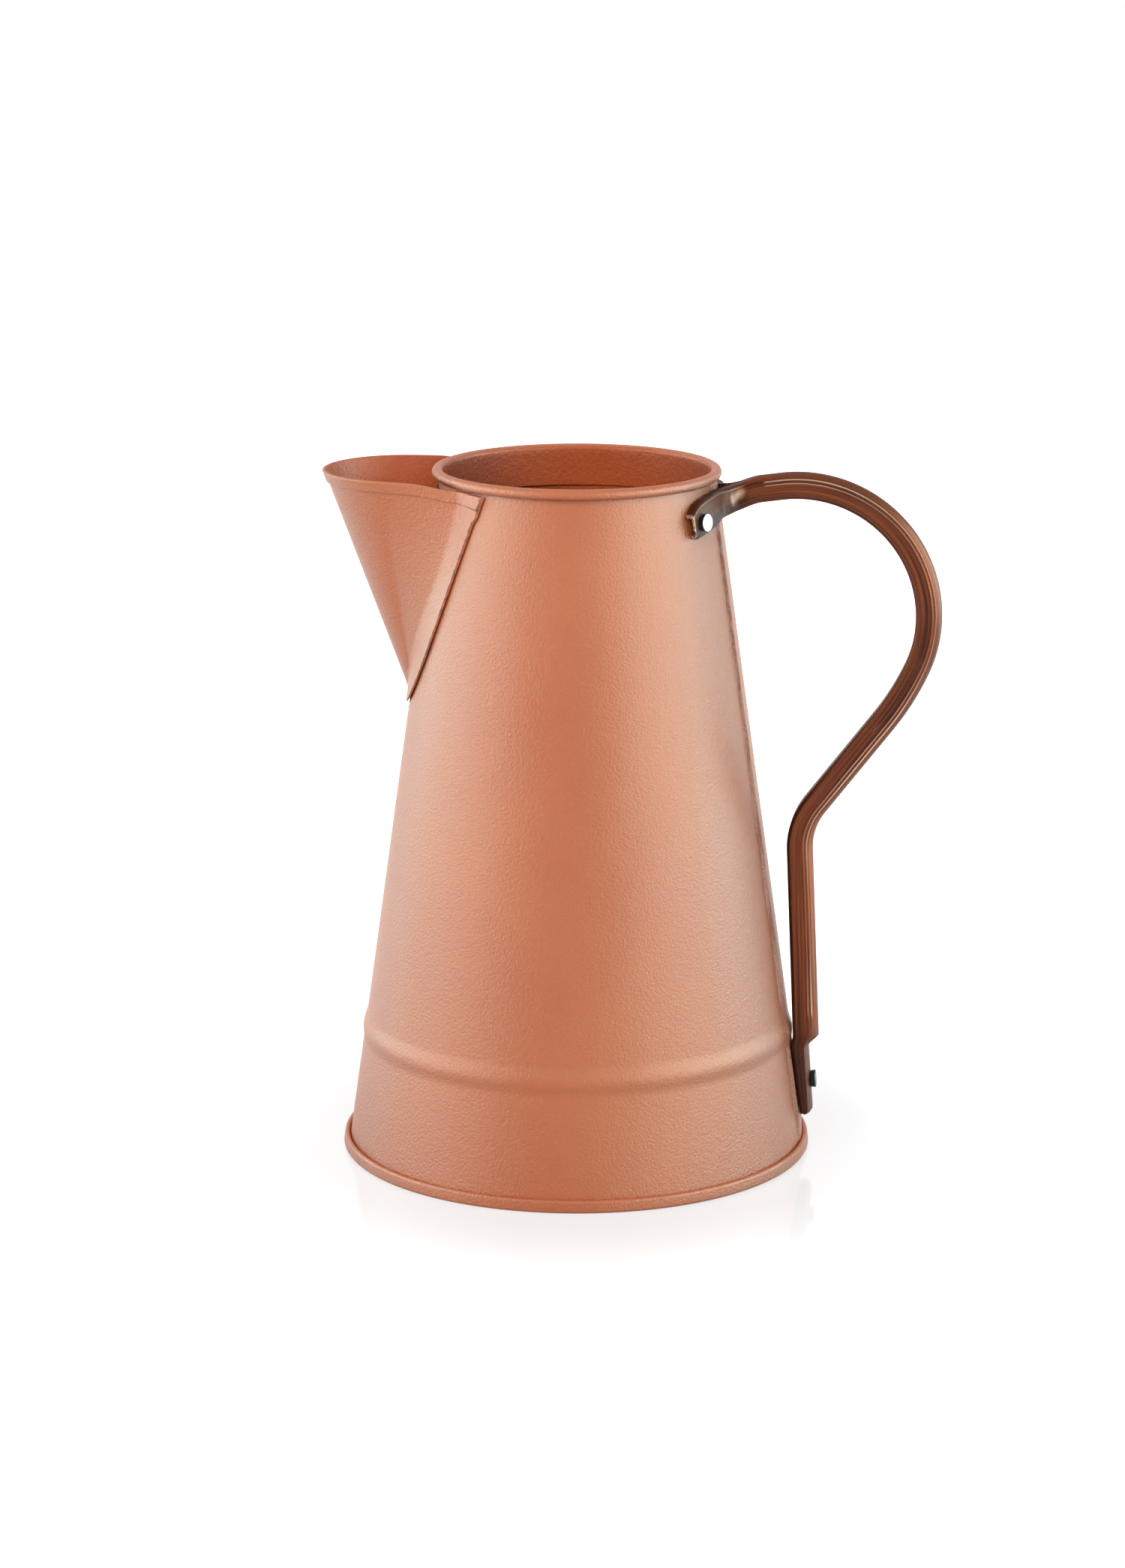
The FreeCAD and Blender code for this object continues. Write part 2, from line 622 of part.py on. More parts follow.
def prong_track(sketch, near, far):
    """Plan of a prong between two depths behind its outside face.

    It leaves the tube's side, turns through the bend and runs round the body.
    """
    points = []
    for depth in (near, far):
        points.append([
            ("prong_root", f"-(prong_side - ({depth}))"),
            ("bend_reach", f"-(prong_side - ({depth}))"),
            (f"bend_reach * (prong_face - ({depth})) / prong_face * bend_ratio",
             f"-(prong_side + prong_bend) * (prong_face - ({depth})) / prong_face * bend_ratio"),
            (f"(prong_face - ({depth})) * cos(prong_span * 1 deg)",
             f"-(prong_face - ({depth})) * sin(prong_span * 1 deg)"),
        ])
    outside, inside = points
    arcs = {1: (f"prong_bend + ({near})", True, False),
            2: (f"prong_face - ({near})", False, False),
            4: (f"prong_face - ({far})", True, False),
            5: (f"prong_bend + ({far})", False, False)}
    outline(sketch, outside + inside[::-1], arcs)


def prong():
    """Front prong: an upright face with edges turned in towards the body above and below."""
    body = new_body("prong_front")
    face = sketch_on(body, "prong_plan", "XY_Plane")
    prong_track(face, "0", "handle_gauge")
    pad(body, face, "prong_face_pad", "prong_height", midplane=True)
    for name, level in (("prong_upper", "prong_height / 2 - handle_gauge"),
                        ("prong_lower", "-prong_height / 2")):
        edge = sketch_on(body, name, "XY_Plane", lift=level)
        prong_track(edge, "0", "prong_depth")
        pad(body, edge, name + "_pad", "handle_gauge")
    return body


def prong_frame():
    """Placement of the front prong: leaning with the wall and falling round it."""
    lean = FreeCAD.Rotation(V(0, 1, 0), -worth("neck_slope"))
    roll = FreeCAD.Rotation(V(1, 0, 0), worth("prong_roll"))
    return FreeCAD.Placement(V(0, 0, worth("prong_origin")), lean.multiply(roll))


def mirrored(name, source):
    """The same piece on the other side of the handle's plane."""
    twin = doc.addObject("Part::Mirroring", name)
    twin.Source = source
    twin.Normal = V(0, 1, 0)
    return twin


handle_body = handle_tube()
prong_front = prong()
prong_front.Placement = prong_frame()
prong_back = mirrored("prong_back", prong_front)
handle_block = fuse("handle_block", handle_body, prong_front, prong_back)
handle_seat = wall_solid("handle_seat", "gap", "-overrun", "total_height")
seam_seat = seam_solid("seam_seat", "gap", "-overrun", "total_height")
seat = fuse("seat", handle_seat, seam_seat)
handle_clear = boolean("Cut", "handle_clear", handle_block, seat)


# ---------------------------------------------------------------- rivets
def grip_along(frame):
    """Distance from a frame's origin back along its Z to the wall's outside surface."""
    start, way = frame.Base, frame.Rotation.multVec(V(0, 0, -1))
    taper, base = worth("taper"), worth("base_radius")
    reach = base - taper * start.z
    square = way.x ** 2 + way.y ** 2 - (taper * way.z) ** 2
    slant = start.x * way.x + start.y * way.y + reach * taper * way.z
    rest = start.x ** 2 + start.y ** 2 - reach ** 2
    return (-slant - math.sqrt(slant ** 2 - square * rest)) / square


def upper_rivet_frame():
    """Rivet frame on the front prong's outside face, Z pointing out of the face."""
    angle = -worth("rivet_angle")
    turn = FreeCAD.Rotation(V(0, 0, 1), angle).multiply(FreeCAD.Rotation(V(0, 1, 0), 90))
    spot = turn.multVec(V(0, 0, worth("prong_face")))
    spot.z = -worth("rivet_drop")
    return prong_frame().multiply(FreeCAD.Placement(spot, turn))


def lower_rivet_frame():
    """Rivet frame on the foot's outside face, Z pointing out of the face."""
    ankle = worth(wall("ankle_height", "seam_rise + gap + ankle_depth"))
    toe = worth(wall("toe_height", "seam_rise + gap + toe_depth"))
    fall = worth("ankle_height - toe_height")
    share = worth("(rivet_height - toe_height) / (ankle_height - toe_height)")
    slope = math.degrees(math.atan2(toe - ankle, fall))
    turn = FreeCAD.Rotation(V(0, 1, 0), 90 - slope)
    return FreeCAD.Placement(V(toe + (ankle - toe) * share, 0, worth("rivet_height")), turn)


def rivet(name, grip):
    """Flat-headed rivet, head outside and clenched end inside, turned about its own axis."""
    body = new_body(name)
    sketch = sketch_on(body, name + "_half", "XZ_Plane")
    behind = f"-({grip}) - gauge - washer_gap - washer_gauge - gap"
    rest = "gap / 2"
    points = [
        ("0", f"{rest} + rivet_head_rise"),
        ("0", f"{behind} - clench_rise"),
        ("clench_radius / 2", f"{behind} - clench_rise"),
        ("clench_radius", behind),
        ("rivet_shank", behind),
        ("rivet_shank", rest),
        ("rivet_head", rest),
        ("rivet_head + rivet_head_flare", f"{rest} + rivet_head_rise"),
    ]
    outline(sketch, points)
    revolve(body, sketch)
    return body


def washer(name, grip):
    """Burr washer that the clenched end bears on, against the inside of the wall."""
    body = new_body(name)
    sketch = sketch_on(body, name + "_half", "XZ_Plane")
    near = f"-({grip}) - gauge - washer_gap"
    points = [
        ("rivet_shank + gap", near),
        ("rivet_shank + gap", f"{near} - washer_gauge"),
        ("washer_radius", f"{near} - washer_gauge"),
        ("washer_radius", near),
    ]
    outline(sketch, points)
    revolve(body, sketch)
    return body


def rivet_hole(name, length, frame):
    """Cylinder that clears a rivet's shank through everything it passes."""
    hole = doc.addObject("Part::Cylinder", name)
    hole.setExpression("Radius", bound("rivet_shank + gap"))
    hole.setExpression("Height", bound(length))
    back = FreeCAD.Placement(V(0, 0, worth("handle_gauge") - worth(length)), FreeCAD.Rotation())
    hole.Placement = frame.multiply(back)
    return hole


def placed(body, frame):
    body.Placement = frame
    return body


upper_frame = upper_rivet_frame()
lower_frame = lower_rivet_frame()
upper_grip = f"{grip_along(upper_frame):.6f}"
lower_grip = f"{grip_along(lower_frame):.6f}"
hole_length = "prong_depth + ankle_depth + seam_rise + overrun"
hole_front = rivet_hole("hole_front", hole_length, upper_frame)
hole_back = mirrored("hole_back", hole_front)
hole_low = rivet_hole("hole_low", hole_length, lower_frame)
holes = fuse("rivet_holes", hole_front, hole_back, hole_low)
handle = boolean("Cut", "handle", handle_clear, holes)
wall_cuts = fuse("wall_cuts", window, holes)
body_shell = boolean("Cut", "body_shell", wall_with_seam, wall_cuts)

lower_rivet = placed(rivet("lower_rivet", lower_grip), lower_frame)
lower_washer = placed(washer("lower_rivet_washer", lower_grip), lower_frame)
pairs = {}
for name, maker in (("upper_rivets", rivet), ("upper_rivet_washers", washer)):
    front = placed(maker(name + "_front", upper_grip), upper_frame)
    pair = doc.addObject("Part::Compound", name)
    pair.Links = [front, mirrored(name + "_back", front)]
    pairs[name] = pair


# ---------------------------------------------------------------- check and write
NODES = {
    "body_shell": body_shell,
    "rim_wire": rim_wire,
    "base_disc": base_disc,
    "base_seam_sealant": base_sealant,
    "spout_shell": spout_shell,
    "spout_joint_sealant": joint_sealant,
    "handle": handle,
    "upper_rivets": pairs["upper_rivets"],
    "upper_rivet_washers": pairs["upper_rivet_washers"],
    "lower_rivet": lower_rivet,
    "lower_rivet_washer": lower_washer,
}
GROUP_SIZES = {"upper_rivets": 2, "upper_rivet_washers": 2}

for label, piece in NODES.items():
    piece.Label = label
doc.recompute()
failed = [item.Name for item in doc.Objects if {"Invalid", "Error"} & set(item.State)]
if failed:
    raise RuntimeError("failed objects: " + ", ".join(failed))

os.makedirs("parts", exist_ok=True)
for label, piece in NODES.items():
    shape = piece.Shape
    solids = GROUP_SIZES.get(label, 1)
    if shape.isNull() or not shape.isValid():
        raise RuntimeError(label + " has no valid shape")
    if len(shape.Solids) != solids:
        raise RuntimeError(f"{label} has {len(shape.Solids)} solids, not {solids}")
    size = shape.BoundBox
    print(f"{label:22s} {shape.Volume:10.1f} mm3  x {size.XMin:7.1f} {size.XMax:7.1f}"
          f"  y {size.YMin:7.1f} {size.YMax:7.1f}  z {size.ZMin:7.1f} {size.ZMax:7.1f}")
    shape.exportStep(f"parts/{label}.step")
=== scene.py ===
import math
import bmesh
import bpy
import numpy as np
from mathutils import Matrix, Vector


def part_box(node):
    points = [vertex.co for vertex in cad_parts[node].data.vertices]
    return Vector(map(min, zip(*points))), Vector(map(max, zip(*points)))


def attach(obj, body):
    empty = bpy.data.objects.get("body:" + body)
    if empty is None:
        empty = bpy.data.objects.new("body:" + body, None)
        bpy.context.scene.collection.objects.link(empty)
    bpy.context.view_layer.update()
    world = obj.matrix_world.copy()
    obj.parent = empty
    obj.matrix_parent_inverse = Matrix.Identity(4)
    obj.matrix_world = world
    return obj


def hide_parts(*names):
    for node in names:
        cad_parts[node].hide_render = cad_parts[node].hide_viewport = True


# Copper-coloured sheet-metal jug with a scoop spout and a browned, forked handle.
#
# Shapes are worked out in millimetres on the jug's own axes: +Z up from the surface it stands
# on, spout along -X, handle along +X. Every piece is a sheet given by two parameters.

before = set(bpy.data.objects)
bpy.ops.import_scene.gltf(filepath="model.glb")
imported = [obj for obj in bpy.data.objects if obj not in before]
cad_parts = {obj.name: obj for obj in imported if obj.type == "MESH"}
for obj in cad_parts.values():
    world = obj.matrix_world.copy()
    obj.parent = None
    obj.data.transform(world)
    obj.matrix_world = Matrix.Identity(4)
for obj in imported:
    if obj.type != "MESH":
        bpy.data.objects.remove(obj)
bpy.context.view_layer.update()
MM = 0.001

# ---------------------------------------------------------------- sizes of the jug, in mm
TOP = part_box("body_shell")[1][2] / MM
BASE_RADIUS, RIM_WALL = 93.2, 54.0              # outside of the wall at the foot and the rim
GAUGE = 0.7
BEAD = 2.15                                     # radius of the rolled rim
RIM_HEIGHT = TOP - BEAD
RIM_CENTRE = RIM_WALL - GAUGE + BEAD
TAPER = (BASE_RADIUS - RIM_WALL) / RIM_HEIGHT
CURL_END = math.radians(-116)                   # where the rim's curl stops, under the bead
SWAGE_HEIGHT, SWAGE_HALF, SWAGE_RISE = 50.9, 6.4, 0.9
SEAM_HALF, SEAM_RISE = 6.6, 1.3                 # lock seam up the side of the handle
WINDOW_HALF, WINDOW_TOP, WINDOW_LOW, WINDOW_ROUND = 31.0, 263.0, 207.0, 20.0

FOOT = 5.2                                      # height of the seam round the bottom
FOOT_OUT = 2.4                                  # how far that seam stands out from the wall
PANEL_LIFT = 3.0
PANEL_EDGE = BASE_RADIUS - GAUGE - 3.4

SCOOP_LOW, SCOOP_TOP, SCOOP_BACK = 184.0, TOP - 2.3, 30.0
SCOOP_FOOT = (57.28, 9.3, 54.5)                 # level line: centre, radius, flare in degrees
SCOOP_MOUTH = (68.5, 33.0, 9.6)
MOUTH_BACK, MOUTH_CLIMB, MOUTH_REACH = 4.65, 2.35, 69.5
FOLD_SIZE = 1.9                                 # rounding of the fold at the flange
JOINT = 0.8                                     # gap that the sealant fills
HEM, HEM_RISE = 4.6, 0.8
FLANGE_HALF, FLANGE_TOP, FLANGE_LOW = 45.6, 274.2, 184.3

STRIP = 0.9                                     # gauge of the handle's strip
PRONG_ROLL = math.radians(7.5)
PRONG_FACE, PRONG_BEND, PRONG_SPAN = 60.2, 8.0, 33.5
PRONG_LEVEL = TOP - 11.6
PRONG_DEPTH = 3.9
PRONG_OUT, PRONG_LIFT = 0.4, 2.38               # its root beside and above the tube's middle
TUBE_HALF, TUBE_DEPTH, TUBE_CROWN, TUBE_LIP = 4.8, 10.44, 4.2, 0.5
TUBE_START = 76.0
HANDLE_LEVEL = TOP - 5.7
NECK_SLOPE, CROOK_END, RETURN_SLOPE, SHANK_SLOPE = map(math.radians, (8.0, 24.0, 37.5, 2.5))
CROOK_REACH, CROOK, LONG_BEND, ELBOW = 88.8, 52.0, 108.0, 28.0
SHANK_FOOT, SHANK_STAND = 51.0, 94.1
PRESS_TOP, PRESS_LOW = 48.6, 43.6               # where the tube is pressed flat
ANKLE, ANKLE_DEPTH, TOE, TOE_DEPTH = 44.0, 7.0, 16.0, 5.1
FOOT_HALF, FOOT_CROWN, FOOT_LIP = 6.2, 1.5, 4.0
FOOT_AIR = 0.1                                  # between the foot and the lock seam

RIVET_TURN, RIVET_DROP, RIVET_GRIP = math.radians(27.6), 0.5, 4.6
LOWER_RIVET, LOWER_GRIP = 29.4, 7.5


def wall(z, offset=0.0):
    """Outside radius of the tapered wall at height z: the base radius less the taper times z."""
    return BASE_RADIUS - TAPER * z + offset


def ease(x, low, high):
    """Smooth step: 3u^2 - 2u^3, where u runs from 0 at low to 1 at high."""
    u = np.clip((x - low) / (high - low), 0.0, 1.0)
    return u * u * (3 - 2 * u)


def steps(*stops):
    """Samples along stops given as (value, number of steps up to the next value)."""
    parts = [np.linspace(a, b, n, endpoint=False)
             for (a, n), (b, _) in zip(stops, stops[1:])]
    return np.concatenate(parts + [[stops[-1][0]]])


# ---------------------------------------------------------------- shader helpers
def tint(code):
    """Linear colour of a six-figure screen colour."""
    values = [int(code[i:i + 2], 16) / 255 for i in (0, 2, 4)]
    return tuple(v / 12.92 if v <= 0.04045 else ((v + 0.055) / 1.055) ** 2.4
                 for v in values) + (1.0,)


class Value:
    """A shader socket that takes part in sums as a number does."""

    def __init__(self, finish, socket):
        self.finish, self.socket = finish, socket

    def math(self, operation, *values):
        return self.finish.math(operation, *values)

    def __add__(self, other):
        return self.math("ADD", self, other)

    def __sub__(self, other):
        return self.math("SUBTRACT", self, other)

    def __rsub__(self, other):
        return self.math("SUBTRACT", other, self)

    def __mul__(self, other):
        return self.math("MULTIPLY", self, other)

    __radd__ = __add__
    __rmul__ = __mul__

    def over(self, low, high):
        """0 below low, 1 above high and smooth between them."""
        settings = {"interpolation_type": "SMOOTHSTEP"}
        inputs = {"Value": self, "From Min": low, "From Max": high}
        return self.finish.node("ShaderNodeMapRange", settings, inputs)


class Finish:
    """One material, or the surround, and its nodes."""

    def __init__(self, name, surround=False):
        kinds = bpy.data.worlds if surround else bpy.data.materials
        self.material = kinds.new(name)
        self.material.use_nodes = True
        self.tree = self.material.node_tree
        self.tree.nodes.clear()

    def node(self, kind, settings=None, inputs=None, output=0):
        """A node with its settings made first, then the values or links of its sockets."""
        made = self.tree.nodes.new(kind)
        for key, value in (settings or {}).items():
            setattr(made, key, value)
        for key, value in (inputs or {}).items():
            if isinstance(value, Value):
                self.tree.links.new(value.socket, made.inputs[key])
            else:
                made.inputs[key].default_value = value
        return Value(self, made.outputs[output]) if len(made.outputs) else made

    def math(self, operation, *values):
        """A Math node on values, which are sockets or numbers."""
        inputs = dict(enumerate(values))
        return self.node("ShaderNodeMath", {"operation": operation}, inputs)

    def place(self):
        """The piece's own coordinates, in metres."""
        return self.node("ShaderNodeTexCoord", output="Object")

    def uv(self, name):
        """The piece's own map along its sheet, in metres."""
        return self.node("ShaderNodeUVMap", {"uv_map": name})

    def mark(self, name):
        """A number painted on the piece's points."""
        return self.node("ShaderNodeAttribute", {"attribute_name": name}, output="Fac")

    def noise(self, vector, scale, detail=2.0, roughness=0.5, stretch=None):
        """Soft random pattern from 0 to 1, with its axes stretched where asked."""
        if stretch:
            vector = self.node("ShaderNodeMapping", {}, {"Vector": vector, "Scale": stretch})
        inputs = {"Vector": vector, "Scale": scale, "Detail": detail, "Roughness": roughness}
        return self.node("ShaderNodeTexNoise", {}, inputs)

    def mix(self, factor, first, second):
        """Colour mix of two colours or colour sockets."""
        settings = {"data_type": "RGBA"}
        return self.node("ShaderNodeMix", settings, {0: factor, 6: first, 7: second}, output=2)

    def background_rays(self):
        """1 for the camera's own rays and for mirrored and clear ones, otherwise 0."""
        kinds = ("Is Camera Ray", "Is Glossy Ray", "Is Transmission Ray")
        camera, glossy, clear = [self.node("ShaderNodeLightPath", output=k) for k in kinds]
        return self.math("MINIMUM", camera + glossy + clear, 1.0)

    def bump(self, height, distance, strength=1.0):
        """A relief of this height pattern, distance deep in metres."""
        inputs = {"Height": height, "Distance": distance, "Strength": strength}
        return self.node("ShaderNodeBump", {}, inputs)

    def close(self, **sockets):
        """Ends the material in one shader that takes these sockets."""
        names = {key.replace("_", " "): value for key, value in sockets.items()}
        shader = self.node("ShaderNodeBsdfPrincipled", {}, names)
        self.node("ShaderNodeOutputMaterial", {}, {"Surface": shader})
        return self.material


# ---------------------------------------------------------------- finishes
def powder_coat(name, colour, shade, grain, depth, roughness, gloss):
    """Satin powder coat: orange peel of this grain per metre over a slow drift of tone."""
    f = Finish(name)
    at = f.place()
    drift = f.noise(at, 14.0, 3.0, 0.55)
    speck = f.noise(at, grain * 1.9, 2.0, 0.6)
    peel = f.noise(at, grain, 1.5, 0.5)
    fine = f.noise(at, grain * 2.7, 1.0, 0.5)
    tone = drift.over(0.35, 0.68) * 0.55 + speck.over(0.35, 0.7) * 0.45
    base = f.mix(tone, tint(shade), tint(colour))
    # Painted shade: where the piece is marked, the coat colour is darkened towards dark brown.
    base = f.mix(f.mark("dark") * 0.9, base, tint("55200C"))
    relief = f.bump(peel * 0.75 + fine * 0.25, depth, 1.0)
    rough = roughness + (peel - 0.5) * 0.12 + (drift - 0.5) * 0.08
    return f.close(Base_Color=base, Roughness=rough, Normal=relief, Metallic=0.0,
                   Specular_IOR_Level=gloss, Coat_Weight=0.05, Coat_Roughness=0.4)


def browned_copper(name):
    """Antiqued brown lacquer on sheet: drawn streaks, ridges and folds coloured light as wear and
    painted highlight, dark nicks and scuffs, and painted shade where marked.
    """
    f = Finish(name)
    along = f.uv("run")
    at = f.place()
    streak = f.noise(along, 1.0, 4.0, 0.6, stretch=(9.0, 900.0, 1.0))
    fine_streak = f.noise(along, 1.0, 3.0, 0.65, stretch=(45.0, 3200.0, 1.0))
    cloud = f.noise(at, 70.0, 4.0, 0.6)
    grit = f.noise(at, 1100.0, 2.0, 0.6)
    worn = f.mark("worn")
    dark = f.mark("dark")
    ground = f.mix(streak.over(0.36, 0.66), tint("3A1305"), tint("7E3B1A"))
    ground = f.mix(cloud.over(0.45, 0.75) * 0.5, ground, tint("653018"))
    # Painted highlight and wear: the ridge lines and fold edges are coloured light for the
    # highlights along them, the knocks and the ends as wear.
    lit = (worn * (0.45 + fine_streak * 0.9)).over(0.15, 0.8)
    colour = f.mix(lit, ground, tint("CA9C84"))
    nick = f.noise(at, 210.0, 2.0, 0.7).over(0.735, 0.78)
    scratch = f.noise(along, 1.0, 2.0, 0.4, stretch=(60.0, 1500.0, 1.0)).over(0.74, 0.8)
    colour = f.mix(scratch * 0.35, colour, tint("C9A090"))
    # Painted shade where marked (the hollow, the lips' side, the groove), together with the dark
    # nicks, takes the colour nearly to black.
    painted_shade_and_nicks = (dark + nick).over(0.1, 1.0)
    colour = f.mix(painted_shade_and_nicks * 0.85, colour, tint("240B04"))
    relief = f.bump(fine_streak * 0.5 + grit * 0.2 - nick * 0.8 + streak * 0.3, 0.00009, 0.9)
    rough = 0.36 + cloud * 0.16 + painted_shade_and_nicks * 0.2 + grit * 0.06
    metal = 0.7 - painted_shade_and_nicks * 0.35
    return f.close(Base_Color=colour, Roughness=rough, Metallic=metal, Normal=relief,
                   Specular_IOR_Level=0.35, Coat_Weight=0.1, Coat_Roughness=0.22)


def rivet_finish(name, face, edge):
    """Turned rivet: a faintly blotched face, with its side painted dark as shade."""
    f = Finish(name)
    at = f.place()
    side = f.mark("dark")
    blot = f.noise(at, 900.0, 3.0, 0.6)
    fine = f.noise(at, 3500.0, 2.0, 0.5)
    colour = f.mix(blot.over(0.35, 0.75) * 0.5, tint(face), tint("A9AEB8"))
    # Painted shade: the side and everything below the face take the near-black edge colour.
    colour = f.mix(side, colour, tint(edge))
    relief = f.bump(fine * 0.5 + blot * 0.5, 0.00004, 0.8)
    return f.close(Base_Color=colour, Roughness=0.3 + blot * 0.2 + side * 0.25,
                   Metallic=0.95 - side * 0.7, Normal=relief)


def plain_metal(name, colour, roughness):
    """Bare drawn steel with a little tarnish."""
    f = Finish(name)
    at = f.place()
    tarnish = f.noise(at, 260.0, 4.0, 0.6)
    base = f.mix(tarnish.over(0.4, 0.7) * 0.6, tint(colour), tint("6A5F58"))
    relief = f.bump(f.noise(at, 1800.0, 2.0), 0.00003, 0.6)
    return f.close(Base_Color=base, Roughness=roughness + tarnish * 0.2, Metallic=0.9,
                   Normal=relief)


def sealant_finish(name):
    """Matt dark sealing compound, slightly wavy."""
    f = Finish(name)
    at = f.place()
    wave = f.noise(at, 320.0, 3.0, 0.6)
    base = f.mix(wave, tint("1E1612"), tint("3A2C24"))
    relief = f.bump(wave, 0.0003, 0.8)
    return f.close(Base_Color=base, Roughness=0.7 + wave * 0.2, Normal=relief)


coat = powder_coat("coat_outside", "BF6838", "B55C30", 1000.0, 0.00034, 0.46, 0.65)
coat_inside = powder_coat("coat_inside", "BA5B2D", "AA4B21", 700.0, 0.0004, 0.5, 0.4)
browned = browned_copper("browned_handle")
# The last colour of each rivet is the painted shade on its side.
bare_rivet = rivet_finish("rivet_bare", "B9BEC8", "0C0B0D")
dark_rivet = rivet_finish("rivet_browned", "3A2A26", "120D0C")
steel = plain_metal("bare_steel", "A8A49E", 0.35)
sealant = sealant_finish("sealing_compound")


# ---------------------------------------------------------------- meshes from grids
class Sheet:
    """Grids of points in mm that are joined into one mesh."""

    def __init__(self, name):
        self.name = name
        self.points, self.quads, self.slots = [], [], []
        self.runs, self.marks = [], []
        self.count = 0

    def grid(self, points, slot=0, flip=False, run=None, **marks):
        """Adds points[row, column], with a face between each four neighbours."""
        rows, columns = points.shape[:2]
        index = np.arange(rows * columns).reshape(rows, columns) + self.count
        quads = np.stack([index[:-1, :-1], index[:-1, 1:], index[1:, 1:], index[1:, :-1]], -1)
        quads = quads.reshape(-1, 4)
        if flip:
            quads = quads[:, ::-1]
        self.points.append(points.reshape(-1, 3))
        self.quads.append(quads)
        self.slots.append(np.full(len(quads), slot))
        empty = np.zeros((rows, columns))
        self.runs.append((np.zeros((rows, columns, 2)) if run is None else run).reshape(-1, 2))
        self.marks.append(np.stack([np.broadcast_to(marks.get(key, empty), empty.shape)
                                    for key in ("worn", "dark")], -1).reshape(-1, 2))
        self.count += rows * columns

    def mirrored(self):
        """Adds every grid again on the other side of the plane of the handle."""
        points = np.concatenate(self.points) * (1, -1, 1)
        quads = np.concatenate(self.quads)[:, ::-1] + self.count
        self.points.append(points)
        self.quads.append(quads)
        self.slots.append(np.concatenate(self.slots))
        self.runs.append(np.concatenate(self.runs))
        self.marks.append(np.concatenate(self.marks))
        self.count *= 2

    def build(self, finishes, crease=32.0, weld=2e-6):
        """The piece in metres: points that meet are joined, and edges past crease are sharp."""
        mesh = bpy.data.meshes.new(self.name)
        points = np.concatenate(self.points) * MM
        quads = np.concatenate(self.quads)
        mesh.from_pydata(points.tolist(), [], quads.tolist())
        for finish in finishes:
            mesh.materials.append(finish)
        mesh.polygons.foreach_set("material_index", np.concatenate(self.slots))
        corners = np.zeros(len(mesh.loops), dtype=np.int32)
        mesh.loops.foreach_get("vertex_index", corners)
        layer = mesh.uv_layers.new(name="run")
        layer.data.foreach_set("uv", (np.concatenate(self.runs)[corners] * MM).ravel())
        marks = np.concatenate(self.marks)
        for column, key in enumerate(("worn", "dark")):
            attribute = mesh.attributes.new(key, "FLOAT", "POINT")
            attribute.data.foreach_set("value", marks[:, column].astype(np.float32))
        work = bmesh.new()
        work.from_mesh(mesh)
        bmesh.ops.remove_doubles(work, verts=work.verts, dist=weld)
        bmesh.ops.dissolve_degenerate(work, edges=work.edges, dist=1e-7)
        bmesh.ops.recalc_face_normals(work, faces=work.faces)
        work.to_mesh(mesh)
        work.free()
        mesh.polygons.foreach_set("use_smooth", np.ones(len(mesh.polygons), dtype=bool))
        mesh.set_sharp_from_angle(angle=math.radians(crease))
        mesh.update()
        made = bpy.data.objects.new(self.name, mesh)
        bpy.context.scene.collection.objects.link(made)
        return made


def arc(centre, radius, start, end, count):
    """Points of an arc in a plane: centre plus radius times (cosine, sine) of each angle."""
    angles = np.linspace(start, end, count)
    return np.stack([centre[0] + radius * np.cos(angles),
                     centre[1] + radius * np.sin(angles)], -1)


def lengths(points):
    """Distance along a run of points to each of them."""
    return np.concatenate([[0], np.cumsum(np.hypot(*np.diff(points, axis=0).T))])


def lathe(profile, angles):
    """Grid of a half section (radius, height) turned through angles about the upright axis."""
    radius, height = profile[:, None, 0], profile[:, None, 1]
    return np.stack([radius * np.cos(angles), radius * np.sin(angles),
                     np.broadcast_to(height, radius.shape[:1] + angles.shape[-1:])], -1)


# ---------------------------------------------------------------- body sheet
def window_half(z):
    """Half width of the pouring window at height z: the round foot, then straight sides."""
    middle = WINDOW_LOW + WINDOW_ROUND
    rise = WINDOW_TOP - middle
    lean = math.atan(WINDOW_HALF / rise) - math.asin(
        WINDOW_ROUND / math.hypot(WINDOW_HALF, rise))
    touch_y = WINDOW_ROUND * math.cos(lean)
    touch_z = middle - WINDOW_ROUND * math.sin(lean)
    foot = np.sqrt(np.clip(WINDOW_ROUND ** 2 - (z - middle) ** 2, 0, None))
    share = (z - touch_z) / (WINDOW_TOP - touch_z)
    side = touch_y + (WINDOW_HALF - touch_y) * share
    return np.where(z < touch_z, foot, side)


def body_rows():
    """The wall's section in order: up the inside, round the rolled rim, down the outside.

    Each row is (radius, height, 1 where the pouring window is cut). The swage ring adds its
    rise times a squared cosine, and the rolled rim is two arcs a gauge apart.
    """
    foot = WINDOW_LOW + WINDOW_ROUND * (1 - np.cos(np.linspace(0, math.pi / 2, 12)))
    cut = np.concatenate([foot, np.linspace(foot[-1], WINDOW_TOP, 16)[1:]])
    low = steps((0.8, 3), (SWAGE_HEIGHT - SWAGE_HALF - 1, 28),
                (SWAGE_HEIGHT + SWAGE_HALF + 1, 16), (WINDOW_LOW, 1))
    high = np.linspace(WINDOW_TOP, RIM_HEIGHT, 8)
    heights = np.concatenate([low, cut, high])
    open_here = np.concatenate([low * 0, cut * 0 + 1, high * 0])
    swage = SWAGE_RISE * np.cos(np.clip((heights - SWAGE_HEIGHT) / SWAGE_HALF, -1, 1)
                                * math.pi / 2) ** 2
    inside = np.stack([wall(heights, -GAUGE) + swage, heights, open_here], -1)
    outside = np.stack([wall(heights) + swage, heights, open_here], -1)[::-1]
    outer = arc((RIM_CENTRE, RIM_HEIGHT), BEAD, math.pi, CURL_END, 44)
    inner = arc((RIM_CENTRE, RIM_HEIGHT), BEAD - GAUGE, CURL_END, math.pi, 36)
    bead = np.concatenate([outer[1:], inner[:-1]])
    bead = np.column_stack([bead, np.zeros(len(bead))])
    return inside, bead, outside


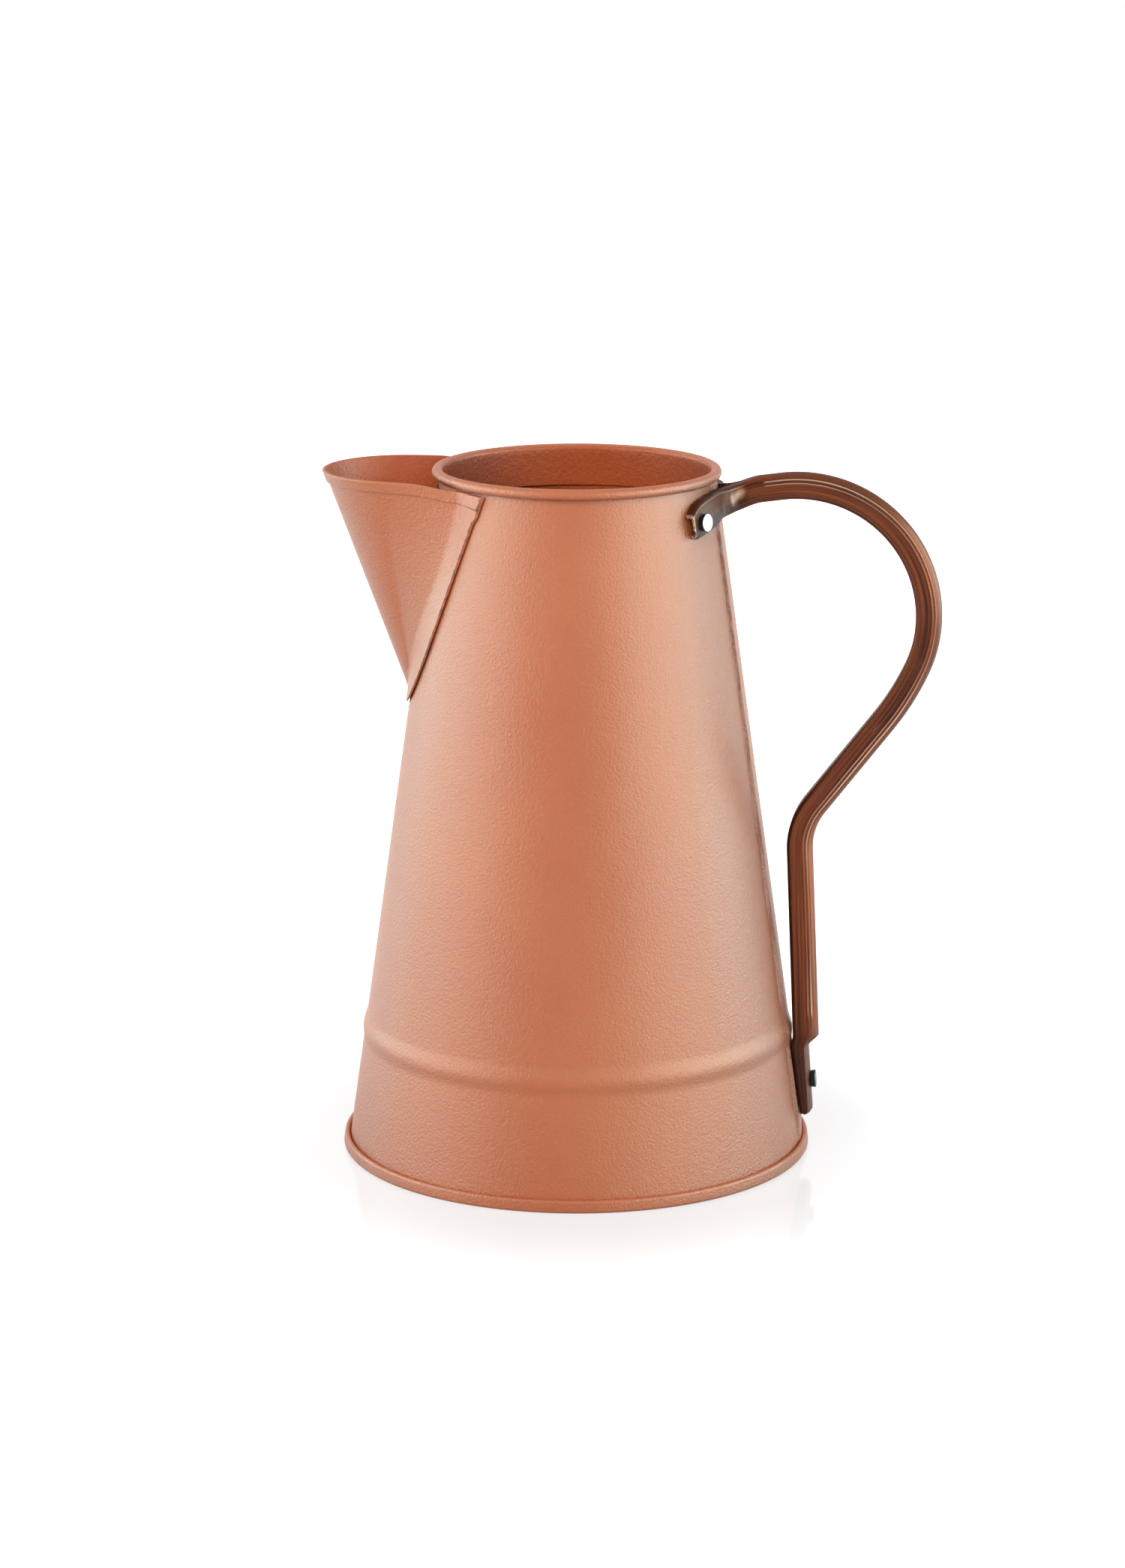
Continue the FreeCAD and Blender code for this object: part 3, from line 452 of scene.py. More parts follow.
def body_piece():
    """Wall with its rolled rim, swage ring, pouring window and lock seam.

    Each row is turned from one edge of the window round to the other, so columns part at the
    window and close again above and below it. The lock seam lifts the outside by a step with
    a fine groove at each side, and a slow wave of 0.07 mm keeps the sheet hand-made.
    """
    inside, bead, outside = body_rows()
    rows = np.concatenate([inside, bead, outside])
    out = np.concatenate([np.zeros(len(inside) + len(bead)), np.ones(len(outside))])[:, None]
    radius, height, cut = rows[:, 0:1], rows[:, 1:2], rows[:, 2:3]
    half = np.where(cut > 0, window_half(height), 0.0)
    gap = np.arcsin(np.clip(half / radius, 0, 1))
    share = np.concatenate([steps((-1.0, 150), (-0.06, 1)),
                            steps((-0.055, 60), (0.055, 1)), steps((0.06, 150), (1.0, 1))])
    angle = share[None, :] * (math.pi - gap)
    across = angle * radius
    lift = (ease(across, -SEAM_HALF - 0.35, -SEAM_HALF + 0.25)
            * (1 - ease(across, SEAM_HALF - 0.25, SEAM_HALF + 0.35)))
    ends = ease(height, FOOT + 0.2, FOOT + 1.0) * (1 - ease(height, TOP - 5.0, TOP - 4.5))
    groove = np.exp(-((np.abs(across) - SEAM_HALF - 0.5) / 0.3) ** 2)
    wave = 0.07 * np.sin(3 * angle + height / 37) * ease(height, 60, 100)
    wave = wave * (1 - ease(height, 240, 262))
    reach = radius + wave + out * ends * (SEAM_RISE * lift - 0.25 * groove)
    points = np.stack([reach * np.cos(angle), reach * np.sin(angle),
                       np.broadcast_to(height, angle.shape)], -1)
    # Painted shade: the lock seam's step face and a line under the rolled rim are marked to be
    # coloured darker, for the shade there.
    step = np.exp(-((np.abs(across) - SEAM_HALF) / 0.4) ** 2)
    crease = np.exp(-((height - TOP + 4.9) / 0.5) ** 2)
    dark = out * np.maximum(ends * step, 0.35 * crease)
    sheet = Sheet("jug_body")
    first = len(inside) + 6
    sheet.grid(points[:first], slot=1, flip=True)
    sheet.grid(points[first - 1:], slot=0, flip=True, dark=dark[first - 1:])
    window = np.flatnonzero(inside[:, 2] > 0)
    window = np.append(window, window[-1] + 1)
    for side in (0, -1):
        sheet.grid(np.stack([points[window, side], points[-1 - window, side]]), slot=0,
                   flip=side == 0)
    foot = np.stack([points[0], points[-1]])
    sheet.grid(foot, slot=0)
    return sheet.build([coat, coat_inside])


def base_piece():
    """Bottom: raised panel, step, flat ring and the rolled fold round the body's foot.

    Its half section, underside first and then back along the inside, is turned once round.
    """
    edge = wall(0, FOOT_OUT)
    low, high = 1.3, 1.15
    corner = arc((wall(low, FOOT_OUT) - low, low), low, -math.pi / 2, 0, 9)
    crown_centre = (wall(FOOT - high, FOOT_OUT) - high, FOOT - high)
    crown = arc(crown_centre, high, 0, math.pi * 0.62, 12)
    profile = np.concatenate([
        [(0.0, PANEL_LIFT), (PANEL_EDGE * 0.5, PANEL_LIFT), (PANEL_EDGE - 0.4, PANEL_LIFT)],
        [(PANEL_EDGE + 0.5, PANEL_LIFT - 0.6), (PANEL_EDGE + 1.1, 0.5), (PANEL_EDGE + 1.9, 0.0)],
        [(edge - 3.0, 0.0)], corner, crown,
        [(wall(FOOT - 0.45, 0.55), FOOT - 0.5), (wall(FOOT - 1.1, 0.12), FOOT - 1.2)],
        [(wall(1.5, 0.12), 1.5), (PANEL_EDGE + 2.4, GAUGE)],
        [(PANEL_EDGE + 1.2, 1.2), (PANEL_EDGE + 0.6, PANEL_LIFT + 0.4)],
        [(PANEL_EDGE - 0.3, PANEL_LIFT + GAUGE), (PANEL_EDGE * 0.5, PANEL_LIFT + GAUGE)],
        [(0.0, PANEL_LIFT + GAUGE)]])
    sheet = Sheet("jug_base")
    turned = lathe(profile, np.linspace(0, 2 * math.pi, 361))
    sheet.grid(turned[:-6], slot=0, flip=True)
    sheet.grid(turned[-7:], slot=1, flip=True)
    return sheet.build([coat, coat_inside], crease=45.0)


# ---------------------------------------------------------------- spout
def level(p, centre, curve, flare, growth):
    """Point of a level line: a round front up to |p| = 1/2, then a straight side to the back."""
    flare = math.radians(flare)
    radius = curve + growth
    turn = np.clip(np.abs(p) / 0.5, 0, 1) * (math.pi / 2 - flare)
    run = np.clip(np.abs(p) / 0.5 - 1, 0, 1)
    touch = centre + radius * math.sin(flare)
    x = centre + radius * np.cos(turn) - run * (touch - SCOOP_BACK)
    y = radius * np.sin(turn) + run * (touch - SCOOP_BACK) * math.tan(flare)
    return x, y * np.sign(p)


def scoop(p, t, growth):
    """Point of the scoop: the foot's level line and the mouth's, mixed by t."""
    foot_x, foot_y = level(p, *SCOOP_FOOT, growth)
    mouth_x, mouth_y = level(p, *SCOOP_MOUTH, growth)
    x = foot_x + (mouth_x - foot_x) * t
    y = foot_y + (mouth_y - foot_y) * t
    return np.stack(np.broadcast_arrays(-x, y, SCOOP_LOW + (SCOOP_TOP - SCOOP_LOW) * t), -1)


def fold_share(t, growth, offset):
    """Where along a level line the scoop meets the wall moved out by offset, by halving."""
    low, high = np.zeros_like(t), np.ones_like(t)
    for _ in range(40):
        middle = (low + high) / 2
        spot = scoop(middle, t, growth)
        out = np.hypot(spot[..., 0], spot[..., 1]) > wall(spot[..., 2], offset)
        low, high = np.where(out, middle, low), np.where(out, high, middle)
    return (low + high) / 2


def flange_edge(share):
    """Half width and height of the flange's outline, from its foot (0) up to its top (1).

    With u from 0 at the foot to 1 at the top, the half width is A (1 - (1 - u)^1.3)^0.308.
    """
    u = np.linspace(0, 1, 400) ** 2.4
    z = FLANGE_LOW + (FLANGE_TOP - FLANGE_LOW) * u
    y = FLANGE_HALF * (1 - (1 - u) ** 1.3) ** 0.308
    length = np.concatenate([[0], np.cumsum(np.hypot(np.diff(y), np.diff(z)))])
    at = share * length[-1]
    y, z = np.interp(at, length, y), np.interp(at, length, z)
    return y + 0.5 * ease(z, 264.2, 265.4), z


def spout_face(growth, offset, rows, hem):
    """One face of the spout: flange, fold, scoop, fold, flange across, foot to mouth upwards.

    growth moves the scoop and offset the flange. rows is 0 at the foot, 1 at the hem's lower
    edge and 2 at the mouth. hem adds to both above the lower edge. Folds are rounded by a
    three-point curve.
    """
    foot = 0.0
    for _ in range(30):
        spot = scoop(np.zeros(1), np.array([foot]), growth)[0]
        foot += (wall(spot[2], offset) + spot[0]) / 50
    inward = np.concatenate([np.linspace(0, 0.9, 36), np.linspace(0.9, 1, 26)[1:]])
    shares = np.concatenate([-inward[::-1], inward[1:]])
    grow = (growth + hem)[:, None]
    away = (offset + hem)[:, None]

    def climb(reach):
        """Level of each row for columns whose mouth stands at radius reach."""
        climbed = ease(reach, RIM_CENTRE + BEAD - 2, MOUTH_REACH) * MOUTH_CLIMB
        top = TOP - MOUTH_BACK + climbed
        top = (top - SCOOP_LOW) / (SCOOP_TOP - SCOOP_LOW)
        lip = top - HEM / (SCOOP_TOP - SCOOP_LOW)
        r = rows[:, None]
        return np.where(r < 1, foot + (lip - foot) * r, lip + (top - lip) * (r - 1))

    fold_t = climb(np.full((1, 1), wall(TOP, offset)))
    fold = fold_share(fold_t, grow, away)
    p = fold * shares[None, :]
    mouth = scoop(p, np.ones_like(p), grow)
    t = climb(np.hypot(mouth[..., 0], mouth[..., 1]))
    blend = np.abs(shares)[None, :] ** 6
    t = t * (1 - blend) + fold_t * blend
    inner = scoop(p, t, grow)
    corner = inner[:, -1]
    length = np.concatenate([[0], np.cumsum(np.linalg.norm(np.diff(corner, axis=0), axis=1))])
    edge_y, edge_z = flange_edge(length / length[-1])
    reach = np.concatenate([np.linspace(0, 0.35, 12), np.linspace(0.35, 1, 8)[1:]])[None, :]
    edge_angle = np.arcsin(edge_y / wall(edge_z, offset))[:, None]
    corner_angle = np.arctan2(corner[:, 1], -corner[:, 0])[:, None]
    angle = corner_angle + (edge_angle - corner_angle) * reach
    z = corner[:, 2:3] + (edge_z[:, None] - corner[:, 2:3]) * reach
    radius = wall(z, away)
    flange = np.stack([-radius * np.cos(angle), radius * np.sin(angle), z], -1)

    middle = len(shares) // 2
    half = np.concatenate([inner[:, middle:], flange[:, 1:]], 1)
    turn = len(shares) - middle - 1
    side = np.linalg.norm(half - half[:, turn:turn + 1], axis=-1)
    size = np.minimum(FOLD_SIZE, 0.45 * side[:, :1])
    size = np.minimum(size, 0.6 * side[:, -1:]) + 1e-6
    back = half[:, turn - 8] - half[:, turn]
    front = half[:, turn + 6] - half[:, turn]
    back /= np.linalg.norm(back, axis=-1, keepdims=True) + 1e-9
    front /= np.linalg.norm(front, axis=-1, keepdims=True) + 1e-9
    way = np.where(np.arange(half.shape[1])[None, :] < turn, -1.0, 1.0)
    u = np.clip(0.5 + 0.5 * way * side / size, 0, 1)[..., None]
    start = (half[:, turn] + back * size)[:, None]
    end = (half[:, turn] + front * size)[:, None]
    curve = (1 - u) ** 2 * start + 2 * u * (1 - u) * half[:, turn:turn + 1] + u ** 2 * end
    half = np.where((side < size)[..., None], curve, half)
    other = half[:, :0:-1] * (1, -1, 1)
    return np.concatenate([other, half], 1)


def spout_piece():
    """Scoop spout: outer and inner faces, the folded hem round its mouth and its cut edges.

    The mouth's lip is half an ellipse from the outer face over to the inner one, 0.46 mm high.
    """
    below = np.linspace(0, 1, 70) ** 0.9
    hem_rows = np.array([1.0, 1.01, 1.03, 1.08, 1.2, 1.5, 1.8, 1.9])
    rows = np.concatenate([below, hem_rows])
    rise = np.concatenate([below * 0, HEM_RISE * np.array([0.8, 0.93, 1, 1, 1, 1, 1, 1])])
    outer = spout_face(0.0, JOINT + GAUGE, rows, rise)
    inner = spout_face(-GAUGE, JOINT, rows, rise * 0)
    # A knock has pressed the top corner of the flange a little closer to the wall.
    knock = np.exp(-(((outer - (-41.4, -38.6, 271.3)) / (1.5, 1.5, 1.2)) ** 2).sum(-1))
    outer = outer + knock[..., None] * (0.35, 0.35, 0)
    a, b = outer[-1], inner[-1]
    turn = np.linspace(0, math.pi, 13)[:, None, None]
    lip = (a + b) / 2 + (a - b) / 2 * np.cos(turn) + np.array([0, 0, 0.46]) * np.sin(turn)
    sheet = Sheet("jug_spout")
    sheet.grid(outer, slot=0)
    half = 7
    sheet.grid(lip[:half + 1], slot=0)
    sheet.grid(lip[half:], slot=1)
    sheet.grid(inner, slot=1, flip=True)
    for side in (0, -1):
        # Painted shade: the flange's cut edges are marked to be coloured darker, for the shade
        # where the flange stands off the wall.
        sheet.grid(np.stack([outer[:, side], inner[:, side]]), slot=0, flip=side == -1,
                   dark=np.full((2, len(outer)), 0.7))
        sheet.grid(np.stack([lip[:7, side], lip[:5:-1, side]]), slot=0, flip=side == -1)
    return sheet.build([coat, coat_inside], weld=1e-7)


# ---------------------------------------------------------------- handle
def handle_line():
    """Middle line of the tube from the neck to the end of the tube, as (x, z) and its way."""
    crook = np.array([CROOK_REACH, HANDLE_LEVEL - CROOK])
    crook_way = np.array([math.cos(CROOK_END), -math.sin(CROOK_END)])
    bend_at = crook - (LONG_BEND - CROOK) * crook_way
    first = arc(crook, CROOK, math.pi / 2 + NECK_SLOPE, -CROOK_END, 74)
    second = arc(bend_at, LONG_BEND, -CROOK_END, -RETURN_SLOPE, 22)
    stand = np.array([SHANK_STAND, SHANK_FOOT])
    turn = RETURN_SLOPE + SHANK_SLOPE
    back = second[-1]
    offset = ((back[0] - stand[0]) * math.cos(SHANK_SLOPE)
              + (back[1] - stand[1]) * math.sin(SHANK_SLOPE))
    run = (offset - ELBOW * (1 - math.cos(turn))) / math.sin(turn)
    bend = back - run * np.array([math.sin(RETURN_SLOPE), math.cos(RETURN_SLOPE)])
    elbow_at = bend + ELBOW * np.array([math.cos(RETURN_SLOPE), -math.sin(RETURN_SLOPE)])
    elbow = arc(elbow_at, ELBOW, math.pi - RETURN_SLOPE, math.pi + SHANK_SLOPE, 26)
    start = first[0] - (first[0][0] - TUBE_START) * np.array([1.0, math.tan(NECK_SLOPE)])
    pieces = [np.linspace(start, first[0], 5), first, second[1:],
              np.linspace(back, bend, 34)[1:], elbow[1:], np.linspace(elbow[-1], stand, 46)[1:]]
    line = np.concatenate(pieces)
    keep = np.concatenate([[True], np.hypot(*np.diff(line, axis=0).T) > 1e-6])
    return line[keep]


def resample(parts):
    """Joins runs of points, each given with its own number of samples, by arc length."""
    done = []
    for points, count in parts:
        points = np.asarray(points, dtype=float)
        at = lengths(points)
        spots = np.linspace(0, at[-1], count)
        done.append(np.stack([np.interp(spots, at, points[:, 0]),
                              np.interp(spots, at, points[:, 1])], -1)[1 if done else 0:])
    return np.concatenate(done)


def half_section(half, depth, crown, lip, fold=1.6):
    """Half of the folded section: lip, folded corner, side, then the crowned outside.

    The first number is the distance from the middle plane and the second points outwards.
    """
    low = -depth / 2
    shoulder = depth / 2 - crown
    radius = (half * half + crown * crown) / (2 * crown)
    corner = arc((half - fold, low + fold), fold, -math.pi / 2, 0, 20)
    top = depth / 2 - radius
    start = math.atan2(shoulder - top, half)
    dome = arc((0, top), radius, start, math.pi / 2, 80)
    return resample([([(lip, low), (half - fold, low)], 5), (corner, 8),
                     ([(half, low + fold), (half, shoulder)], 9), (dome, 34)])


def prong_section(upper, lower, depth):
    """Section of a prong: lip, folded corner, upright face, folded corner, turned-in edge."""
    fold = 1.5
    edge = TUBE_HALF - depth
    first = arc((TUBE_HALF - fold, lower + fold), fold, -math.pi / 2, 0, 20)
    second = arc((TUBE_HALF - fold, upper - fold), fold, 0, math.pi / 2, 20)
    return resample([([(edge, lower), (TUBE_HALF - fold, lower)], 5), (first, 8),
                     ([(TUBE_HALF, lower + fold), (TUBE_HALF, upper - fold - 2)], 9),
                     (np.concatenate([[(TUBE_HALF, upper - fold - 2)], second,
                                      [(edge, upper)]]), 34)])


def inset(section, amount):
    """The section moved inwards by amount along its own normals."""
    way = np.gradient(section, axis=-2)
    way /= np.linalg.norm(way, axis=-1, keepdims=True)
    return section - amount * np.stack([way[..., 1], -way[..., 0]], -1)


def ridged(section, height):
    """Two drawn ridges along the crown, a quarter and two fifths of the way in."""
    b = section[..., 1]
    way = np.gradient(section, axis=-2)
    way /= np.linalg.norm(way, axis=-1, keepdims=True)
    bead = (np.exp(-((b - 2.75) / 0.34) ** 2) + 0.8 * np.exp(-((b - 1.35) / 0.3) ** 2)
            - 0.6 * np.exp(-((b - 2.0) / 0.3) ** 2))
    return section + (height * bead)[..., None] * np.stack([way[..., 1], -way[..., 0]], -1), bead


def prong_places():
    """Front prong from its end to the tube: face points, outward normals, plan distance.

    In plan: round the body at the face radius, through the bend, then straight along the tube.
    """
    side = TUBE_HALF + PRONG_OUT
    bend_x = math.sqrt((PRONG_FACE + PRONG_BEND) ** 2 - (side + PRONG_BEND) ** 2)
    centre = np.array([bend_x, -side - PRONG_BEND])
    touch = math.atan2(side + PRONG_BEND, bend_x)
    round_body = np.linspace(math.radians(PRONG_SPAN), touch, 46)
    normal_a = np.stack([np.cos(round_body), -np.sin(round_body)], -1)
    face_a = PRONG_FACE * normal_a
    turn = np.linspace(math.pi - touch, math.pi / 2, 22)[1:]
    normal_b = -np.stack([np.cos(turn), np.sin(turn)], -1)
    face_b = centre - PRONG_BEND * normal_b
    run = np.linspace(bend_x, TUBE_START, 12)[1:]
    face_c = np.stack([run, np.full_like(run, -side)], -1)
    normal_c = np.tile((0.0, -1.0), (len(run), 1))
    face = np.concatenate([face_a, face_b, face_c])
    normal = np.concatenate([normal_a, normal_b, normal_c])
    return face, normal


def in_prong_frame(points, roll):
    """Turns points by the prong's roll about X, then by its lean, and lifts them to its level."""
    x, y, z = points[..., 0], points[..., 1], points[..., 2]
    cos_r, sin_r = np.cos(roll), np.sin(roll)
    y, z = y * cos_r - z * sin_r, y * sin_r + z * cos_r
    cos_l, sin_l = math.cos(NECK_SLOPE), math.sin(NECK_SLOPE)
    x, z = x * cos_l - z * sin_l, x * sin_l + z * cos_l
    return np.stack([x, y, z + PRONG_LEVEL - PRONG_FACE * math.tan(NECK_SLOPE)], -1)


def prong_part(tube):
    """Rows of the prong from its end to the tube: outside, lining, mix and knocks.

    mix is 1 where the section is a prong's and 0 where it is the tube's. knocks are the hammer
    marks at the root: a hollow and the crease beside it, as bells along and across the strip.
    """
    face, normal = prong_places()
    far = lengths(face)
    to_root = far[-1] - far
    mix = ease(to_root, 1.0, 15.5)[:, None]
    upper = np.interp(far, [0, 2.2, 5.5, 10, 18, 26, 34, 44],
                      [3.9, 5.5, 7.0, 7.5, 7.2, 6.0, 5.2, 5.0])
    lower = np.interp(far, [0, 0.8, 2.0, 20, 30, 44], [-4.9, -5.7, -6.0, -5.8, -5.2, -4.9])
    prong = np.stack([prong_section(u, l, PRONG_DEPTH) for u, l in zip(upper, lower)])
    section = prong * mix[..., None] + tube * (1 - mix[..., None])
    dent = np.exp(-(((to_root - 9.5) / 2.6)[:, None]) ** 2
                  - ((section[..., 1] - 1.2) / 2.4) ** 2) * (section[..., 0] > 3)
    pinch = np.exp(-(((to_root - 13.0) / 1.2)[:, None]) ** 2
                   - ((section[..., 1] - 0.2) / 3.2) ** 2) * (section[..., 0] > 3)
    section[..., 0] += 0.45 * pinch - 0.9 * dent
    lining = inset(section, STRIP)
    lining[mix[:, 0] == 0, -1, 0] = 0.0

    def placed(shape):
        """Section points carried to the prong: out along the normal and up."""
        start = face - normal * (TUBE_HALF + PRONG_OUT * (1 - mix))
        plan = start[:, None] + normal[:, None] * shape[..., 0:1]
        lift = (shape[..., 1] + PRONG_LIFT * (1 - mix))[..., None]
        return in_prong_frame(np.concatenate([plan, lift], -1), PRONG_ROLL * mix)

    return placed(section), placed(lining), mix, dent + pinch


def tube_part(tube):
    """Rows of the tube along its line: outside, lining, distance run and ridge height."""
    line = handle_line()
    way = np.gradient(line, axis=0)
    way /= np.linalg.norm(way, axis=-1, keepdims=True)
    out = np.stack([-way[:, 1], way[:, 0]], -1)
    run = lengths(line)
    ripple = 0.16 + 0.05 * np.sin(run / 19.0) + 0.03 * np.sin(run / 4.3)
    ripple = ripple * ease(run, 2, 20) * (1 - ease(run, run[-1] - 10, run[-1]))
    outside, bead = ridged(np.broadcast_to(tube, (len(line),) + tube.shape), ripple[:, None])
    lining = inset(tube, STRIP)
    lining[-1, 0] = 0.0

    def placed(shape):
        """Section points carried to the middle line of the tube."""
        plan = line[:, None] + out[:, None] * shape[..., 1:2]
        return np.stack([plan[..., 0], -shape[..., 0], plan[..., 1]], -1)

    return placed(outside), placed(np.broadcast_to(lining, outside.shape)), run, bead


def foot_part(tube):
    """Rows of the foot down to its toe, outside and lining: the tube pressed flat on the seam."""
    ankle = half_section(FOOT_HALF, ANKLE_DEPTH, FOOT_CROWN, FOOT_LIP)
    toe = half_section(FOOT_HALF, TOE_DEPTH, FOOT_CROWN, FOOT_LIP)
    drop = steps((SHANK_FOOT, 3), (49.0, 20), (43.4, 26), (TOE, 1))
    share = ease(drop, PRESS_TOP, PRESS_LOW)
    mixing = share[:, None, None]
    down = np.clip((ANKLE - drop) / (ANKLE - TOE), 0, 1)[:, None, None]
    foot = tube * (1 - mixing) + (ankle * (1 - down) + toe * down) * mixing
    ends = np.clip((drop - TOE) / 2.2, 0, 1)[:, None]
    foot[..., 1] = foot[..., 1] - 0.8 * (1 - np.sqrt(1 - (1 - ends) ** 2)) * (foot[..., 1] > 0)
    lining = inset(foot, STRIP)
    lining[:, -1, 0] = 0.0
    depth = TOE_DEPTH + (ANKLE_DEPTH - TOE_DEPTH) * (drop - TOE) / (ANKLE - TOE)
    on_wall = wall(drop, SEAM_RISE + FOOT_AIR) + depth / 2
    on_shank = SHANK_STAND + (SHANK_FOOT - drop) * math.tan(SHANK_SLOPE)
    stand = on_shank * (1 - share) + on_wall * share
    tilt = SHANK_SLOPE * (1 - share)[:, None]

    def placed(shape):
        """Section points carried to the foot, level and pointing away from the wall."""
        x = stand[:, None] + shape[..., 1] * np.cos(tilt)
        z = drop[:, None] + shape[..., 1] * np.sin(tilt)
        return np.stack([x, -shape[..., 0], z], -1)

    return placed(foot), placed(lining)


def handle_marks(outer, tube, mix, knocks, run, bead):
    """Where the handle's outside is coloured lighter and where darker, both from 0 to 1.

    Lighter: the ridges and folds as painted highlight and wear, the knocks, and the prong's end
    as
    wear. Darker: painted shade towards the lips and in the groove between the ridges; the prongs
    are darker, and the foot darker towards the bottom.
    """
    count = len(mix)
    columns = np.arange(outer.shape[1])
    body = slice(count - 1, count + len(run) - 2)
    # Painted highlight and wear: the ridges and folds are coloured lighter.
    worn = np.zeros(outer.shape[:2])
    patches = 0.65 + 0.35 * np.sin(run[:-1] / 23.0 + 1.0)[:, None]
    fade = 1 - ease(run[:-1], run[-1] - 9.0, run[-1] - 1.0)[:, None]
    worn[body] = np.clip(bead[:-1], 0, 1) * 0.85 * patches * fade
    folds = np.zeros(len(columns))
    folds[8], folds[9], folds[30:34] = 0.5, 0.6, (0.5, 0.8, 0.8, 0.4)
    worn[:count - 1] += folds * mix[:-1] * 0.6
    worn[:count - 1] += knocks[:-1] * 0.75
    worn[0:2] += 0.75

    # Painted shade towards the lips and in the groove between the ridges; the prongs and the
    # lower foot are made darker.
    dark = np.zeros(outer.shape[:2])
    dark += (1 - ease(columns, 9, 17))[None, :] * 0.35
    dark[body] += 0.25 * np.exp(-((tube[:, 1] - 2.0) / 0.35) ** 2)
    dark[:count - 1] += 0.62 * mix[:-1]
    lower_half = np.arange(len(outer))[:, None] > count + 60
    dark += np.where(lower_half, ease(outer[..., 2], 62.0, 40.0) * 0.55, 0)
    return worn, np.clip(dark, 0, 1)


def handle_piece():
    """The folded handle: each half is one sheet from its prong's end to the toe of the foot.

    Sections are mixed from one kind to the next along the line, and the halves meet over the
    crown except between the prongs.
    """
    tube = half_section(TUBE_HALF, TUBE_DEPTH, TUBE_CROWN, TUBE_LIP)
    prong_out, prong_in, mix, knocks = prong_part(tube)
    tube_out, tube_in, run, bead = tube_part(tube)
    foot_out, foot_in = foot_part(tube)
    outer = np.concatenate([prong_out[:-1], tube_out[:-1], foot_out])
    inner = np.concatenate([prong_in[:-1], tube_in[:-1], foot_in])
    worn, dark = handle_marks(outer, tube, mix, knocks, run, bead)

    rows, columns = outer.shape[:2]
    between = np.linalg.norm(np.diff(outer[:, 18], axis=0), axis=-1)
    along = np.concatenate([[0], np.cumsum(between)])[:, None]
    across = np.arange(columns)[None, :] * 0.45
    uv = np.stack(np.broadcast_arrays(along, across), -1)

    sheet = Sheet("jug_handle")
    sheet.grid(outer, run=uv, worn=worn, dark=dark)
    # Painted shade: the lining inside the tube is marked almost fully dark and the lips partly,
    # for the shade in the hollow.
    sheet.grid(inner, flip=True, run=uv, dark=np.full(worn.shape, 0.9))
    lips = np.stack([inner[:, 0], outer[:, 0]], 1)
    sheet.grid(lips, run=np.stack([uv[:, 0], uv[:, 1]], 1), dark=np.full((rows, 2), 0.4))
    apart = np.count_nonzero(mix) + 1
    crotch = np.stack([outer[:apart, -1], inner[:apart, -1]], 1)
    sheet.grid(crotch, run=np.stack([uv[:apart, 0], uv[:apart, 1]], 1),
               worn=np.full((apart, 2), 0.5))
    sheet.grid(np.stack([inner[0], outer[0]]), flip=True, run=uv[:2],
               worn=np.full((2, columns), 0.9))
    sheet.grid(np.stack([outer[-1], inner[-1]]), flip=True, run=uv[:2],
               worn=np.full((2, columns), 0.35))
    sheet.mirrored()
    return sheet.build([browned], crease=40.0, weld=4e-6)


# ---------------------------------------------------------------- rivets
def rivet_profile(grip):
    """Half section of a rivet: flared flat head with eased edges, shank and clenched end.

    behind is where the clenched end starts: past the grip, the wall, the air at the wall and
    the washer.
    """
    behind = -grip - GAUGE - 0.5 - 0.9 - 0.1
    return np.array([
        (0.0, 2.05), (2.0, 2.05), (3.05, 2.03), (3.35, 1.97), (3.52, 1.84), (3.55, 1.66),
        (3.48, 1.2), (3.34, 0.3), (3.3, 0.05), (3.1, 0.05), (2.0, 0.05), (2.0, behind),
        (3.1, behind), (3.08, behind - 0.25), (2.6, behind - 0.9), (1.6, behind - 1.32),
        (0.0, behind - 1.4)])


def rivet_grid(origin, outwards, grip):
    """The rivet turned about its own axis, which runs outwards from its seat."""
    axis = np.asarray(outwards) / np.linalg.norm(outwards)
    side = np.cross(axis, (0.0, 0.0, 1.0))
    side /= np.linalg.norm(side)
    up = np.cross(axis, side)
    profile = rivet_profile(grip)
    turn = np.linspace(0, 2 * math.pi, 73)[None, :, None]
    radius, rise = profile[:, 0][:, None, None], profile[:, 1][:, None, None]
    points = origin + axis * rise + radius * (side * np.cos(turn) + up * np.sin(turn))
    # Painted shade: every ring below the head's face is marked dark.
    dark = np.broadcast_to(np.where(np.arange(len(profile)) < 4, 0.0, 1.0)[:, None],
                           points.shape[:2])
    return points, dark


def upper_rivet_pieces():
    """Rivets through the prongs, square to their faces."""
    way = np.array([math.cos(RIVET_TURN), -math.sin(RIVET_TURN), 0.0])
    seat = PRONG_FACE * way - (0.0, 0.0, RIVET_DROP)
    origin = in_prong_frame(seat, PRONG_ROLL)
    outwards = in_prong_frame(seat + way, PRONG_ROLL) - origin
    points, dark = rivet_grid(origin, outwards, RIVET_GRIP)
    sheet = Sheet("jug_upper_rivets")
    sheet.grid(points, dark=dark)
    sheet.mirrored()
    return sheet.build([bare_rivet], crease=50.0)


